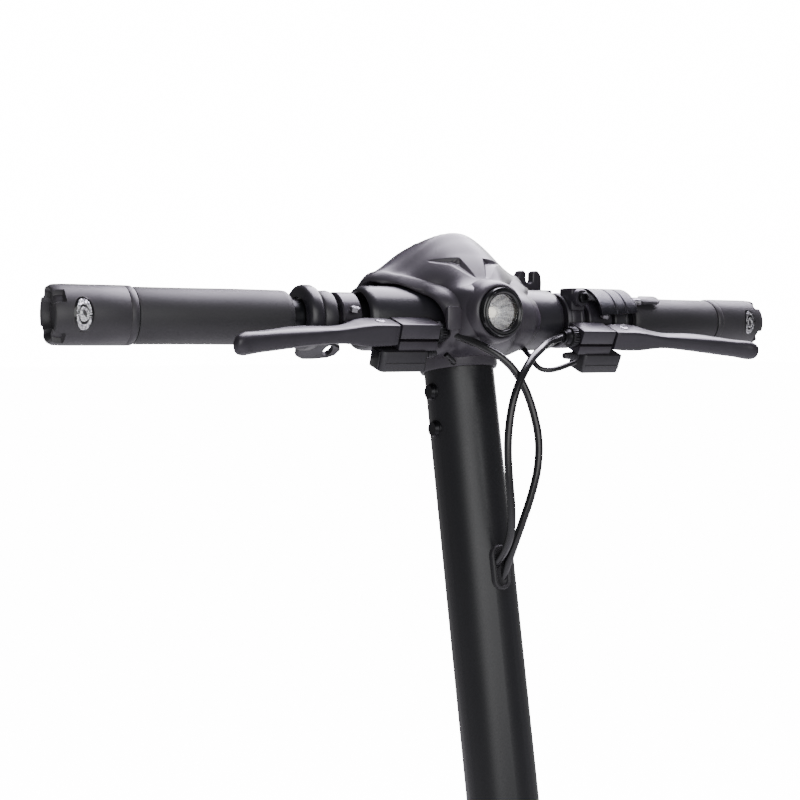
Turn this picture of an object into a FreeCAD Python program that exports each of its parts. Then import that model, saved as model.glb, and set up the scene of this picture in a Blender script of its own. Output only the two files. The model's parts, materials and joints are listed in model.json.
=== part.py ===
import FreeCAD, Part
import math
import os

import Sketcher
from FreeCAD import Placement, Rotation, Vector

# Folding electric kick scooter, standing on its two wheels and its kickstand.
# Frame: origin on the ground under the middle, +X to the rider's left, -Y forward, +Z up.

SIZES = [
    # overall stance
    ("wheelbase", 900), ("bar_height", 1130), ("steer_tilt", 10.5), ("bar_ahead", 3.5),
    ("fork_offset", 8), ("lower_rise", "=(1130 - bar_height) / cos(steer_tilt)"),
    # wheels
    ("wheel_radius", 127), ("tyre_width", 56), ("tread_flat", 24), ("bead_radius", 84),
    ("rim_width", 44), ("rim_wall", 4), ("hub_radius", 52), ("hub_width", 60), ("axle_od", 12),
    ("run_fit", 0.05), ("motor_width", 66), ("disc_radius", 60), ("disc_thick", 2), ("disc_x", 41),
    # head tube, fork and its bearings
    ("turn_gap", 3), ("head_od", 52), ("head_id", 44), ("head_low", "=lower_rise - 846"),
    ("head_high", "=lower_rise - 765"),
    ("bearing_h", 7),
    ("steerer_od", 30), ("steerer_id", 24), ("crown_h", 26), ("crown_depth", 44), ("leg_gap", 96),
    ("leg_thick", 12), ("leg_depth", 34), ("dropout_below", 22),
    # fold joint and latch
    ("base_width", 60), ("base_depth", 70), ("base_front", 27), ("base_low", "=lower_rise - 757"),
    ("base_high", "=lower_rise - 722"),
    ("fold_y", 38), ("fold_s", "=lower_rise - 706"), ("pin_od", 10), ("knuckle_r", 12), ("knuckle_w", 26),
    ("foot_low", "=lower_rise - 720"), ("foot_high", "=lower_rise - 640"), ("foot_wall", 5),
    ("hook_pin_s", "=lower_rise - 735"),
    ("latch_y", -36), ("latch_s", "=lower_rise - 672"), ("latch_width", 20),
    # stem
    ("stem_od", 45.5), ("stem_wall", 3), ("stem_low", "=lower_rise - 700"), ("stem_high", -22),
    ("bolt_od", 6), ("bolt_high", -47.6), ("bolt_low", -71.5), ("gland_s", -162.5),
    ("gland_w", 13), ("gland_len", 28), ("gland_stand", 2.6), ("gland_wall", 2.1),
    # handlebar
    ("bar_od", 22.2), ("bar_wall", 2.2), ("bar_len", 500), ("bar_half", 268.7), ("grip_od", 32.6),
    ("grip_right_at", 125), ("grip_left_at", 142), ("grip_end", 221.4), ("cap_od", 34),
    ("cap_start", 221.7), ("fit", 0.1),
    ("notch_w", 10), ("notch_d", 6), ("lens_start", 246), ("lens_end", 262), ("lens_high", 17),
    ("head_clamp_od", 34), ("head_clamp_w", 44), ("spigot_low", -84),
    # cockpit shells
    ("shell_wall", 3), ("shell_low", -26), ("shell_rim", 24), ("hood_top", 55.7), ("hood_wide", 58),
    ("sleeve_od", 41), ("sleeve_start", 24.5), ("sleeve_end", 75), ("lamp_z", 3.8),
    ("lamp_od", 31), ("lamp_id", 22), ("lamp_front", 52.5), ("lamp_boss", 37), ("boss_front", 48.5),
    ("screen_w", 52), ("screen_l", 26), ("screen_t", 3), ("screen_tilt", 40), ("button_od", 9),
    ("board_t", 1.6), ("board_w", 50), ("board_l", 32), ("board_drop", 8), ("button_down", 19),
    # brake levers and their brackets
    ("lever_tilt_right", 17.5), ("lever_tilt_left", 23), ("pivot_right", 76), ("pivot_left", 118),
    ("pivot_out", 29), ("clamp_right_at", 80), ("clamp_right_w", 13), ("clamp_right_od", 32),
    ("clamp_left_at", 101), ("clamp_left_w", 20), ("clamp_left_od", 29), ("bracket_top", 7),
    ("bracket_low", 8), ("bracket_front", 36), ("bracket_back", 21.5), ("bracket_in", 40),
    ("bracket_gap", 12), ("tongue_out", 8), ("tongue_thick", 6), ("lever_thick", 13),
    ("lever_slack", 0.6), ("pivot_od", 6), ("adjuster_od", 9), ("wheel_od", 14), ("wheel_w", 6),
    ("adjuster_len", 12), ("adjuster_u", 29), ("switch_h", 13), ("switch_l", 33), ("switch_w", 15),
    # throttle, bell and hook on the bar
    ("throttle_od", 40), ("throttle_in", 106.6), ("throttle_end", 117), ("paddle_ring", 34),
    ("paddle_in", 96), ("paddle_reach", 38), ("paddle_thick", 5), ("paddle_tip", 75),
    ("hook_od", 38), ("hook_in", 79), ("hook_end", 93), ("bell_in", 123), ("bell_end", 133),
    ("bell_od", 31), ("chime_r", 23), ("chime_t", 2), ("chime_in", 104), ("chime_end", 138),
    ("striker_end", 166),
    # deck
    ("deck_w", 170), ("deck_low", 100), ("deck_top", 150), ("deck_front", -250), ("deck_back", 300),
    ("deck_wall", 3), ("belly_t", 3), ("mat_w", 150), ("mat_t", 3), ("neck_w", 50),
    ("battery_w", 120), ("battery_l", 380), ("battery_h", 34), ("control_l", 90), ("control_h", 28),
    ("port_r", 4.2), ("port_od", 20), ("port_deep", 9), ("port_y", -150), ("port_z", 126), ("screw_od", 4),
    ("dropout_gap", 112), ("dropout_t", 8), ("fender_gap", 6.5), ("fender_t", 3),
    ("fender_w", 72), ("front_fender_w", 64), ("stand_x", 74), ("stand_y", 60), ("stand_z", 88),
    ("stand_od", 14), ("stand_lean", 14), ("stand_out", 22), ("stand_foot", 6),
    ("cable_od", 5), ("wire_od", 3.4),
]

doc = FreeCAD.newDocument("KickScooter")
dim = doc.addObject("Spreadsheet::Sheet", "dim")
for row, (alias, value) in enumerate(SIZES, start=1):
    dim.set(f"A{row}", alias)
    dim.set(f"B{row}", str(value))
    dim.setAlias(f"B{row}", alias)
doc.recompute()

nodes = []


def size(alias):
    return float(dim.get(alias))


def keep(piece, name, frame=Placement()):
    """Name a finished sub-part and set it in its frame."""
    piece.Label = name
    piece.Placement = frame.multiply(piece.Placement)
    nodes.append(piece)
    return piece


def facing(direction):
    return Rotation(Vector(0, 0, 1), Vector(*direction))


def rod(radius, length, start, direction=(0, 0, 1)):
    """A cylinder from a start point along a direction."""
    piece = doc.addObject("Part::Cylinder", "rod")
    piece.setExpression("Radius", radius)
    piece.setExpression("Height", length)
    piece.Placement = Placement(Vector(*start), facing(direction))
    return piece


def block(length, width, height, corner, turn=Rotation()):
    """A box from its lowest corner."""
    piece = doc.addObject("Part::Box", "block")
    piece.setExpression("Length", length)
    piece.setExpression("Width", width)
    piece.setExpression("Height", height)
    piece.Placement = Placement(Vector(*corner), turn)
    return piece


def cut(base, *tools):
    piece = doc.addObject("Part::Cut", "cut")
    piece.Base = base
    piece.Tool = tools[0] if len(tools) == 1 else fuse(*tools)
    return piece


def fuse(*parts):
    piece = doc.addObject("Part::MultiFuse", "fuse")
    piece.Shapes = list(parts)
    return piece


def common(*parts):
    piece = doc.addObject("Part::MultiCommon", "common")
    piece.Shapes = list(parts)
    return piece


def group(*parts):
    """Separate solids that share one node."""
    piece = doc.addObject("Part::Compound", "group")
    piece.Links = list(parts)
    return piece


def solid(shape):
    piece = doc.addObject("Part::Feature", "solid")
    piece.Shape = shape
    return piece


def plane(body, role):
    return next(item for item in body.Origin.OriginFeatures if item.Role == role)


def outline(body, role, corners):
    """A closed sketch through corners whose two coordinates are sheet expressions."""
    sketch = body.newObject("Sketcher::SketchObject", "outline")
    sketch.AttachmentSupport = (plane(body, role), [""])
    sketch.MapMode = "FlatFace"
    count = len(corners)
    ring = [Rotation(Vector(0, 0, 1), 360 * i / count).multVec(Vector(100, 0, 0)) for i in range(count)]
    for i in range(count):
        sketch.addGeometry(Part.LineSegment(ring[i], ring[(i + 1) % count]), False)
    for i in range(count):
        sketch.addConstraint(Sketcher.Constraint("Coincident", i, 2, (i + 1) % count, 1))
    for i, (across, up) in enumerate(corners):
        index = sketch.addConstraint(Sketcher.Constraint("DistanceX", -1, 1, i, 1, ring[i].x))
        sketch.setExpression(f"Constraints[{index}]", str(across))
        index = sketch.addConstraint(Sketcher.Constraint("DistanceY", -1, 1, i, 1, ring[i].y))
        sketch.setExpression(f"Constraints[{index}]", str(up))
    return sketch


def plate(role, corners, thickness, start=(0, 0, 0), turn=Rotation()):
    """A padded outline, its thickness shared equally by both sides of the sketch plane."""
    body = doc.addObject("PartDesign::Body", "plate")
    pad = body.newObject("PartDesign::Pad", "pad")
    pad.Profile = outline(body, role, corners)
    pad.SideType = "Symmetric"
    pad.setExpression("Length", thickness)
    body.Placement = Placement(Vector(*start), turn)
    return body


def spin(corners, start=(0, 0, 0), direction=(0, 0, 1)):
    """A turned piece: corners are (radius, height) along the axis."""
    body = doc.addObject("PartDesign::Body", "spin")
    sketch = outline(body, "XZ_Plane", corners)
    turn = body.newObject("PartDesign::Revolution", "turn")
    turn.Profile = sketch
    turn.ReferenceAxis = (sketch, ["V_Axis"])
    turn.Angle = 360
    body.Placement = Placement(Vector(*start), facing(direction))
    return body


def cable(points, radius):
    """A round cable along straight runs joined by tangent arcs."""
    corners = [Vector(*point) for point in points]
    edges = []
    last = corners[0]
    tightest = 1e9
    for before, here, after in zip(corners, corners[1:], corners[2:]):
        back = (before - here).normalize()
        ahead = (after - here).normalize()
        turn = math.pi - back.getAngle(ahead)
        run = min((before - here).Length, (after - here).Length)
        bend = 0.45 * run / math.tan(turn / 2)
        tightest = min(tightest, bend)
        middle = (back + ahead).normalize()
        centre = here + middle * (bend / math.cos(turn / 2))
        enter = here + back * (0.45 * run)
        leave = here + ahead * (0.45 * run)
        edges.append(Part.LineSegment(last, enter).toShape())
        edges.append(Part.Arc(enter, centre - middle * bend, leave).toShape())
        last = leave
    edges.append(Part.LineSegment(last, corners[-1]).toShape())
    path = Part.Wire(edges)
    ring = Part.Wire(Part.Circle(corners[0], corners[1] - corners[0], radius).toShape())
    tube = path.makePipeShell([ring], True, False)
    print("cable: length", round(path.Length, 1), "tightest radius", round(tightest, 1),
          "volume ratio", round(tube.Volume / (math.pi * radius ** 2 * path.Length), 4))
    return tube


# ---------------------------------------------------------------- frames
tilt = math.radians(size("steer_tilt"))
wheel_r = size("wheel_radius")
front_y = -(size("wheelbase") + size("fender_gap") + size("fender_t")) / 2
rear_y = front_y + size("wheelbase")
axle_s = (wheel_r - size("bar_height") - size("fork_offset") * math.sin(tilt)) / math.cos(tilt)
axis_y = front_y - axle_s * math.sin(tilt) + size("fork_offset") * math.cos(tilt)

# the steering axis: its local z runs up the stem, from the level of the handlebar
STEER = Placement(Vector(0, axis_y, size("bar_height")), Rotation(Vector(1, 0, 0), -size("steer_tilt")))
# the middle of the handlebar, with upright axes
BAR = Placement(Vector(0, axis_y - size("bar_ahead"), size("bar_height")), Rotation())
FRONT = Placement(Vector(0, front_y, wheel_r), Rotation())
REAR = Placement(Vector(0, rear_y, wheel_r), Rotation())
SIDE = (1, 0, 0)


# ---------------------------------------------------------------- wheels
def tyre(name, frame):
    """Pneumatic tyre with a narrow flat band in the middle of its tread."""
    half = "dim.tyre_width / 2"
    bead = "dim.bead_radius"
    top = "dim.wheel_radius"
    corners = [
        (bead, "-dim.rim_width / 2"), (f"{bead} + 12", f"-{half}"), (f"{top} - 16", f"-{half}"),
        (f"{top} - 4", f"-{half} + 6"), (top, "-dim.tread_flat / 2"), (top, "dim.tread_flat / 2"),
        (f"{top} - 4", f"{half} - 6"), (f"{top} - 16", half), (f"{bead} + 12", half),
        (bead, "dim.rim_width / 2"), (f"{bead} + 5", "dim.rim_width / 2 - 5"),
        (f"{bead} + 5", "5 - dim.rim_width / 2"),
    ]
    keep(spin(corners, direction=SIDE), name, frame)


def front_rim():
    """Cast rim, web and brake-drum hub that turn on the front axle."""
    well = "dim.bead_radius - dim.fit"
    inner = f"{well} - dim.rim_wall"
    edge = "dim.rim_width / 2"
    hub = "dim.hub_width / 2"
    ring = spin([(inner, f"-{edge}"), (well, f"-{edge}"), (well, edge), (inner, edge)], direction=SIDE)
    web = spin([("dim.hub_radius - 1", -4), (f"{inner} + 1", -4), (f"{inner} + 1", 4),
                ("dim.hub_radius - 1", 4)], direction=SIDE)
    drum = spin([("dim.axle_od / 2 + dim.run_fit", f"-{hub}"), ("dim.hub_radius - 14", f"-{hub}"),
                 ("dim.hub_radius", f"-{hub} + 8"), ("dim.hub_radius", hub), ("dim.hub_radius - 5", hub),
                 ("dim.hub_radius - 5", f"{hub} - 24"), ("dim.axle_od / 2 + dim.run_fit", f"{hub} - 24")],
                direction=SIDE)
    windows = []
    for turn in range(6):
        angle = math.radians(60 * turn)
        reach = (size("bead_radius") + size("hub_radius")) / 2
        windows.append(rod("9", "20", (-10, reach * math.cos(angle), reach * math.sin(angle)), SIDE))
    keep(cut(fuse(ring, web, drum), *windows), "front_rim", FRONT)


def rear_hub_motor():
    """Hub motor: the outer case turns and carries the rear tyre."""
    well = "dim.bead_radius - dim.fit"
    edge = "dim.rim_width / 2"
    half = "dim.motor_width / 2"
    bore = "dim.axle_od / 2 + dim.run_fit"
    corners = [
        (bore, f"-{half}"), ("22", f"-{half}"), (f"{well} - 12", f"-{half} + 6"),
        (f"{well} - 10", f"-{edge}"),
        (well, f"-{edge}"), (well, edge), (f"{well} - 10", edge), (f"{well} - 12", f"{half} - 6"),
        ("22", half), (bore, half), (bore, f"{half} - 5"), (f"{well} - 16", f"{half} - 11"),
        (f"{well} - 16", f"11 - {half}"), (bore, f"5 - {half}"),
    ]
    keep(spin(corners, direction=SIDE), "rear_hub_motor", REAR)


def rear_axle():
    """Fixed axle through both dropouts, with the stator it carries and its end nuts."""
    reach = "dim.dropout_gap / 2 + dim.dropout_t"
    end = -size("dropout_gap") / 2 - size("dropout_t") - 12
    shaft = rod("dim.axle_od / 2", f"2 * ({reach} + 12)", (end, 0, 0), SIDE)
    stator = cut(rod("dim.bead_radius - dim.fit - 20", "30", (-15, 0, 0), SIDE),
                 rod("dim.axle_od / 2 + 0.02", "40", (-20, 0, 0), SIDE))
    nuts = []
    for side in (-1, 1):
        seat = side * (size("dropout_gap") / 2 + size("dropout_t") + 0.2)
        nut = cut(rod("11", "7", (seat, 0, 0), (side, 0, 0)),
                  rod("dim.axle_od / 2 + 0.02", "9", (seat - side, 0, 0), (side, 0, 0)))
        nuts.append(nut)
    keep(group(shaft, stator, *nuts), "rear_axle", REAR)


def rear_brake_disc():
    """Vented brake rotor on a carrier ring, bolted to the motor's left cover."""
    start = size("motor_width") / 2 + 0.2
    disc_at = size("disc_x") - size("disc_thick") / 2
    rotor = cut(rod("dim.disc_radius", "dim.disc_thick", (disc_at, 0, 0), SIDE),
                rod("dim.disc_radius - 16", "20", (disc_at - 9, 0, 0), SIDE))
    carrier = cut(rod("20", "dim.disc_x + dim.disc_thick / 2 - dim.motor_width / 2 - 0.2", (start, 0, 0),
                      SIDE),
                  rod("12", "40", (start - 9, 0, 0), SIDE))
    arms = []
    for turn in range(5):
        spoke = block("dim.disc_thick", "30", "8", (disc_at, 0, 0))
        spoke.Placement = Placement(Vector(), Rotation(Vector(1, 0, 0), 72 * turn)).multiply(
            Placement(Vector(disc_at, 17, -4), Rotation()))
        arms.append(spoke)
    holes = []
    for turn in range(15):
        angle = math.radians(24 * turn)
        reach = size("disc_radius") - 8
        holes.append(rod("2.5", "10", (disc_at - 4, reach * math.cos(angle), reach * math.sin(angle)), SIDE))
    keep(cut(fuse(rotor, carrier, *arms), *holes), "rear_brake_disc", REAR)


tyre("front_tyre", FRONT)
tyre("rear_tyre", REAR)
front_rim()
rear_hub_motor()
rear_axle()
rear_brake_disc()


# ---------------------------------------------------------------- fork and front brake
def fork():
    """Steerer, crown and two flat legs, one forging, with slotted ends for the axle."""
    low = size("head_low")
    steerer_top = size("base_high") - 4
    gap = size("leg_gap") / 2
    leg = size("leg_thick")
    depth = size("leg_depth")
    crown_low = low - size("bearing_h") - size("crown_h")
    steerer = rod("dim.steerer_od / 2", "dim.base_high - 4 - dim.head_low + dim.bearing_h + 10",
                  (0, 0, low - size("bearing_h") - 10))
    crown = block("dim.leg_gap + 2 * dim.leg_thick", "dim.crown_depth", "dim.crown_h",
                  (-gap - leg, -size("crown_depth") / 2, crown_low))
    bore = rod("dim.steerer_id / 2", "400", (0, 0, steerer_top - 390))
    legs = []
    for side in (-1, 1):
        corner = (min(side * gap, side * (gap + leg)), -size("fork_offset") - depth / 2,
                  axle_s - size("dropout_below"))
        legs.append(block("dim.leg_thick", "dim.leg_depth", str(crown_low + 2 - corner[2]), corner))
    slot = fuse(rod("dim.axle_od / 2 + 0.05", "200", (-100, -size("fork_offset"), axle_s), SIDE),
                block("200", "dim.axle_od + 0.1", "60",
                      (-100, -size("fork_offset") - size("axle_od") / 2 - 0.05, axle_s - 60)))
    keep(cut(fuse(steerer, crown, *legs), bore, slot), "fork", STEER)


def front_axle():
    reach = size("leg_gap") / 2 + size("leg_thick")
    shaft = rod("dim.axle_od / 2", "dim.leg_gap + 2 * dim.leg_thick + 24", (-reach - 12, 0, 0), SIDE)
    nuts = []
    for side in (-1, 1):
        seat = side * (reach + 0.2)
        nuts.append(cut(rod("11", "7", (seat, 0, 0), (side, 0, 0)),
                        rod("dim.axle_od / 2 + 0.02", "9", (seat - side, 0, 0), (side, 0, 0))))
    keep(group(shaft, *nuts), "front_axle", FRONT)


def front_brake_plate():
    """Fixed backing plate of the front drum brake with its two shoes."""
    face = size("hub_width") / 2
    plate_disc = rod("dim.hub_radius - 6", "6", (face - 6, 0, 0), SIDE)
    boss = rod("16", "dim.leg_gap / 2 - dim.hub_width / 2 - 0.3", (face - 1, 0, 0), SIDE)
    pivot = rod("6", "10", (face - 1, 0, 34), SIDE)
    shoes = rod("dim.hub_radius - 9", "14", (face - 19, 0, 0), SIDE)
    hollow = rod("dim.hub_radius - 22", "14", (face - 20, 0, 0), SIDE)
    split = block("16", "200", "8", (face - 21, -100, -4))
    axle_hole = rod("dim.axle_od / 2 + 0.02", "80", (face - 30, 0, 0), SIDE)
    shoe_ring = cut(shoes, hollow, split)
    keep(cut(fuse(plate_disc, boss, pivot, shoe_ring), axle_hole), "front_brake_plate", FRONT)


def front_brake_arm():
    """Arm that the cable pulls to spread the shoes; it turns on the plate's pivot."""
    face = size("hub_width") / 2 + 9.3
    arm = block("4", "12", "46", (face, -6, 30))
    eye = rod("8", "4", (face, 0, 34), SIDE)
    hole = rod("2.5", "8", (face - 2, 0, 70), SIDE)
    keep(cut(fuse(arm, eye), hole), "front_brake_arm", FRONT)


def head_bearings():
    rings = []
    for low in (size("head_low") - size("bearing_h"), size("head_high")):
        ring = cut(rod("dim.head_od / 2", "dim.bearing_h - 0.4", (0, 0, low + 0.2)),
                   rod("dim.steerer_od / 2 + 0.05", "30", (0, 0, low - 5)))
        rings.append(ring)
    keep(group(*rings), "headset_bearings", STEER)


def front_fender():
    """Arched mudguard under the crown, held by a tab."""
    inner = "dim.wheel_radius + dim.fender_gap"
    ring = cut(rod(f"{inner} + dim.fender_t", "dim.front_fender_w", (-size("front_fender_w") / 2, 0, 0),
                   SIDE),
               rod(inner, "200", (-100, 0, 0), SIDE))
    reach = wheel_r + 40
    wedge = plate("YZ_Plane", [(0, 0), (-reach * 0.6, reach), (reach * 0.2, reach), (reach, reach * 0.5)],
                  "300")
    arch = common(ring, wedge)
    arch.Placement = FRONT
    tab = block("24", "24", "8", (-12, -12 - size("fork_offset"), 0))
    crown_low = size("head_low") - size("bearing_h") - size("crown_h")
    tab.Placement = STEER.multiply(Placement(Vector(-12, -12 - size("fork_offset"), crown_low - 8.1),
                                             Rotation()))
    room = rod(inner, "200", (-100, front_y, wheel_r), SIDE)
    keep(cut(fuse(arch, tab), room), "front_fender")


fork()
front_axle()
front_brake_plate()
front_brake_arm()
head_bearings()
front_fender()


# ---------------------------------------------------------------- fold joint, latch and stem
def hinge_base():
    """Clamp on the steerer with the lower knuckle of the fold and the catch for the latch."""
    width = size("base_width")
    low = size("base_low")
    base = block("dim.base_width", "dim.base_depth", "dim.base_high - dim.base_low",
                 (-width / 2, -size("base_front"), low))
    ears = []
    ear_w = (width - size("knuckle_w")) / 2
    for side in (-1, 1):
        start = side * (size("knuckle_w") / 2 + 0.4)
        ears.append(rod("dim.knuckle_r", str(ear_w - 0.4), (start, size("fold_y"), size("fold_s")),
                        (side, 0, 0)))
        ears.append(block(str(ear_w - 0.4), "2 * dim.knuckle_r - 4", "dim.fold_s - dim.base_high + 6",
                          (min(start, start + side * (ear_w - 0.4)), size("fold_y") - 10,
                           size("base_high") - 6)))
    lip = block("30", "9.4", "10", (-15, -size("base_front") - 8.4, size("hook_pin_s") - 6))
    knuckle_room = rod("dim.knuckle_r + 0.8", "dim.knuckle_w + 0.8",
                       (-size("knuckle_w") / 2 - 0.4, size("fold_y"), size("fold_s")), SIDE)
    pin_hole = rod("dim.pin_od / 2 + dim.run_fit", "100", (-50, size("fold_y"), size("fold_s")), SIDE)
    bore = rod("dim.steerer_od / 2 + 0.02", "80", (0, 0, low - 10))
    keep(cut(fuse(base, lip, *ears), bore, knuckle_room, pin_hole), "hinge_base", STEER)


def stem_foot():
    """Cast socket at the stem's foot with the upper knuckle of the fold."""
    low = size("foot_low")
    outer = rod("dim.stem_od / 2 + dim.foot_wall", "dim.foot_high - dim.foot_low", (0, 0, low))
    knuckle = rod("dim.knuckle_r", "dim.knuckle_w",
                  (-size("knuckle_w") / 2, size("fold_y"), size("fold_s")), SIDE)
    web = block("dim.knuckle_w", "dim.fold_y", "40", (-size("knuckle_w") / 2, 0, size("fold_s")))
    lugs = []
    for side in (-1, 1):
        start = side * (size("latch_width") / 2 + 0.4)
        lugs.append(block("5", "22", "16", (min(start, start + side * 5), size("latch_y") - 8,
                                            size("latch_s") - 8)))
    socket = rod("dim.stem_od / 2 + dim.fit", "200", (0, 0, size("stem_low") - 0.2))
    pin_hole = rod("dim.pin_od / 2 + dim.run_fit", "100", (-50, size("fold_y"), size("fold_s")), SIDE)
    latch_hole = rod("2.55", "80", (-40, size("latch_y"), size("latch_s")), SIDE)
    cable_way = rod("10", "60", (0, 0, low - 20))
    keep(cut(fuse(outer, knuckle, web, *lugs), socket, pin_hole, latch_hole, cable_way), "stem_foot", STEER)


def latch_lever():
    """Over-centre lever on the stem's foot whose hook holds the catch of the hinge base."""
    y = size("latch_y")
    s = size("latch_s")
    hook_s = size("hook_pin_s")
    corners = [
        (y - 4, s - 6), (y + 4, s - 6), (y + 4, s + 5), (y - 2, s + 9), (y - 12, s + 40), (y - 18, s + 38),
        (y - 9, s), (y - 8, hook_s - 12), (y + 0.1, hook_s - 12), (y + 0.1, hook_s + 8), (y - 3, hook_s + 12),
    ]
    lever = plate("YZ_Plane", corners, "dim.latch_width")
    hole = rod("2.55", "80", (-40, y, s), SIDE)
    keep(cut(lever, hole), "latch_lever", STEER)


def stadium(width, length, depth, centre):
    """An upright rounded slot shape that points along local y."""
    radius = f"({width}) / 2"
    straight = size("gland_len") - size("gland_w")
    x, y, z = centre
    top = rod(radius, depth, (x, y, z + straight / 2), (0, 1, 0))
    bottom = rod(radius, depth, (x, y, z - straight / 2), (0, 1, 0))
    middle = block(width, depth, "dim.gland_len - dim.gland_w", (x, y, z - straight / 2))
    middle.setExpression("Placement.Base.x", f"-({width}) / 2")
    return fuse(top, bottom, middle)


def stem_tube():
    """Round aluminium stem, open at both ends, with the cable slot and two bolt holes."""
    outer = rod("dim.stem_od / 2", "dim.stem_high - dim.stem_low", (0, 0, size("stem_low")))
    inner = rod("dim.stem_od / 2 - dim.stem_wall", "900", (0, 0, size("stem_low") - 50))
    slot = stadium("dim.gland_w - 2 * dim.gland_wall + 0.2", "dim.gland_len", "30", (0, -40, size("gland_s")))
    holes = [rod("dim.bolt_od / 2 + 0.1", "40", (0, 0, size(at)), (-1, 0, 0)) for at in ("bolt_high",
                                                                                         "bolt_low")]
    keep(cut(outer, inner, slot, *holes), "stem_tube", STEER)


def cable_grommet():
    """Rubber gland in the stem's slot; its lip stands on the tube and the cables enter it."""
    face = size("stem_od") / 2
    lip = cut(stadium("dim.gland_w", "dim.gland_len", "8", (0, -face - size("gland_stand"), size("gland_s"))),
              rod("dim.stem_od / 2 + 0.05", "80", (0, 0, size("gland_s") - 40)))
    neck = stadium("dim.gland_w - 2 * dim.gland_wall", "dim.gland_len", "6",
                   (0, -face - size("gland_stand") + 0.5, size("gland_s")))
    keep(fuse(lip, neck), "cable_grommet", STEER)


hinge_base()
stem_foot()
latch_lever()
stem_tube()
cable_grommet()


# ---------------------------------------------------------------- handlebar, grips and caps
def handlebar_tube():
    start = (-size("bar_len") / 2, 0, 0)
    outer = rod("dim.bar_od / 2", "dim.bar_len", start, SIDE)
    inner = rod("dim.bar_od / 2 - dim.bar_wall", "dim.bar_len + 20", (start[0] - 10, 0, 0), SIDE)
    keep(cut(outer, inner), "handlebar_tube", BAR)


def bar_clamp_head():
    """Casting bolted into the stem's top that grips the middle of the handlebar."""
    up = STEER.Rotation.multVec(Vector(0, 0, 1))
    foot = Vector(0, size("bar_ahead"), 0) + up * size("spigot_low")
    barrel = rod("dim.head_clamp_od / 2", "dim.head_clamp_w", (-size("head_clamp_w") / 2, 0, 0), SIDE)
    spigot = rod("dim.stem_od / 2 - dim.stem_wall - dim.fit", "-dim.spigot_low - 6", foot, up)
    hollow = rod("11", "-dim.spigot_low - 22", foot - up * 2, up)
    bore = rod("dim.bar_od / 2 + 0.03", "100", (-50, 0, 0), SIDE)
    tools = [hollow, bore]
    for at in ("bolt_high", "bolt_low"):
        seat = Vector(0, size("bar_ahead"), 0) + up * size(at)
        tools.append(rod("dim.bolt_od / 2 + 0.05", "40", seat, (-1, 0, 0)))
    keep(cut(fuse(barrel, spigot), *tools), "bar_clamp_head", BAR)


def grip(side):
    """Smooth foam-rubber sleeve with a low rim at its inner end."""
    bore = "dim.bar_od / 2 + 0.05"
    outer = "dim.grip_od / 2"
    start = "dim.grip_left_at" if side > 0 else "dim.grip_right_at"
    length = f"(dim.grip_end - {start})"
    corners = [(bore, 0), (f"{outer} + 0.5", 0), (f"{outer} + 0.5", 2.5), (outer, 4), (outer, length),
               (bore, length)]
    return spin(corners, (side * size(start[4:]), 0, 0), (side, 0, 0))


def end_cap(side):
    """Plastic cap on the bar's end: a crown of notches and a pocket for the turn light."""
    start = size("cap_start")
    far = size("bar_half")
    radius = "dim.cap_od / 2"
    length = "(dim.bar_half - dim.cap_start)"
    skin = spin([(0, 0), (radius, 0), (radius, f"{length} - 2"), (f"{radius} - 2", length), (0, length)],
                (side * start, 0, 0), (side, 0, 0))
    socket = rod("dim.bar_od / 2 + 0.05", "dim.bar_len / 2 - dim.cap_start + 1",
                 (side * (start - 0.5), 0, 0), (side, 0, 0))
    dish = rod("dim.cap_od / 2 - 5", "4", (side * (far - 3), 0, 0), (side, 0, 0))
    notches = []
    for turn in range(4):
        notch = block("dim.notch_d + 2", "dim.cap_od / 2 + 2", "dim.notch_w",
                      (min(side * (far - size("notch_d")), side * (far + 2)), 0, 0))
        notch.Placement = Placement(Vector(), Rotation(Vector(1, 0, 0), 180 + 90 * turn)).multiply(
            Placement(Vector(notch.Placement.Base.x, 0, -size("notch_w") / 2), Rotation()))
        notches.append(notch)
    pocket = lens_box(side, 0.15)
    return cut(skin, socket, dish, pocket, *notches)


def lens_box(side, slack):
    """The block of the turn light's pocket, on the front of the cap."""
    low = size("lens_start") - slack
    high = size("lens_end") + slack
    tall = size("lens_high") + 2 * slack
    return block(str(high - low), "16", str(tall),
                 (min(side * low, side * high), slack - size("cap_od") / 2 - 12, -tall / 2))


def indicator_lenses():
    lenses = []
    for side in (-1, 1):
        skin = rod("dim.cap_od / 2 - 0.2", "60", (side * 220, 0, 0), (side, 0, 0))
        lenses.append(common(skin, lens_box(side, 0)))
    keep(group(*lenses), "indicator_lenses", BAR)


handlebar_tube()
bar_clamp_head()
keep(group(grip(-1), grip(1)), "grips", BAR)
keep(group(end_cap(-1), end_cap(1)), "end_caps", BAR)
indicator_lenses()


# ---------------------------------------------------------------- cockpit shells and display
def level(height, wide, front, back, taper, inset):
    """One level outline of the cockpit: rounded, and narrower towards its front."""
    count = 16
    points = []
    for i in range(count):
        angle = 2 * math.pi * i / count
        narrow = 1 - taper * (1 + math.cos(angle)) / 2
        depth = front if math.cos(angle) > 0 else back
        points.append(Vector((wide - inset) * math.sin(angle) * narrow, -(depth - inset) * math.cos(angle),
                             height))
    curve = Part.BSplineCurve()
    curve.interpolate(points, PeriodicFlag=True)
    return Part.Wire(curve.toShape())


def shell_levels():
    """Levels of the head shell from the neck up to its rim."""
    low = size("shell_low")
    rim = size("shell_rim")
    wide = size("hood_wide")
    neck = size("stem_od") / 2 + size("shell_wall")
    return [(low, neck, neck + 1.2, neck - 1.2, 0), (low * 0.55, neck * 1.15, 33, 28, 0.15),
            (0, wide * 0.64, 43, 34, 0.3), (rim / 2, wide * 0.8, 42, 38, 0.35), (rim, wide, 37, 42, 0.35)]


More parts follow.
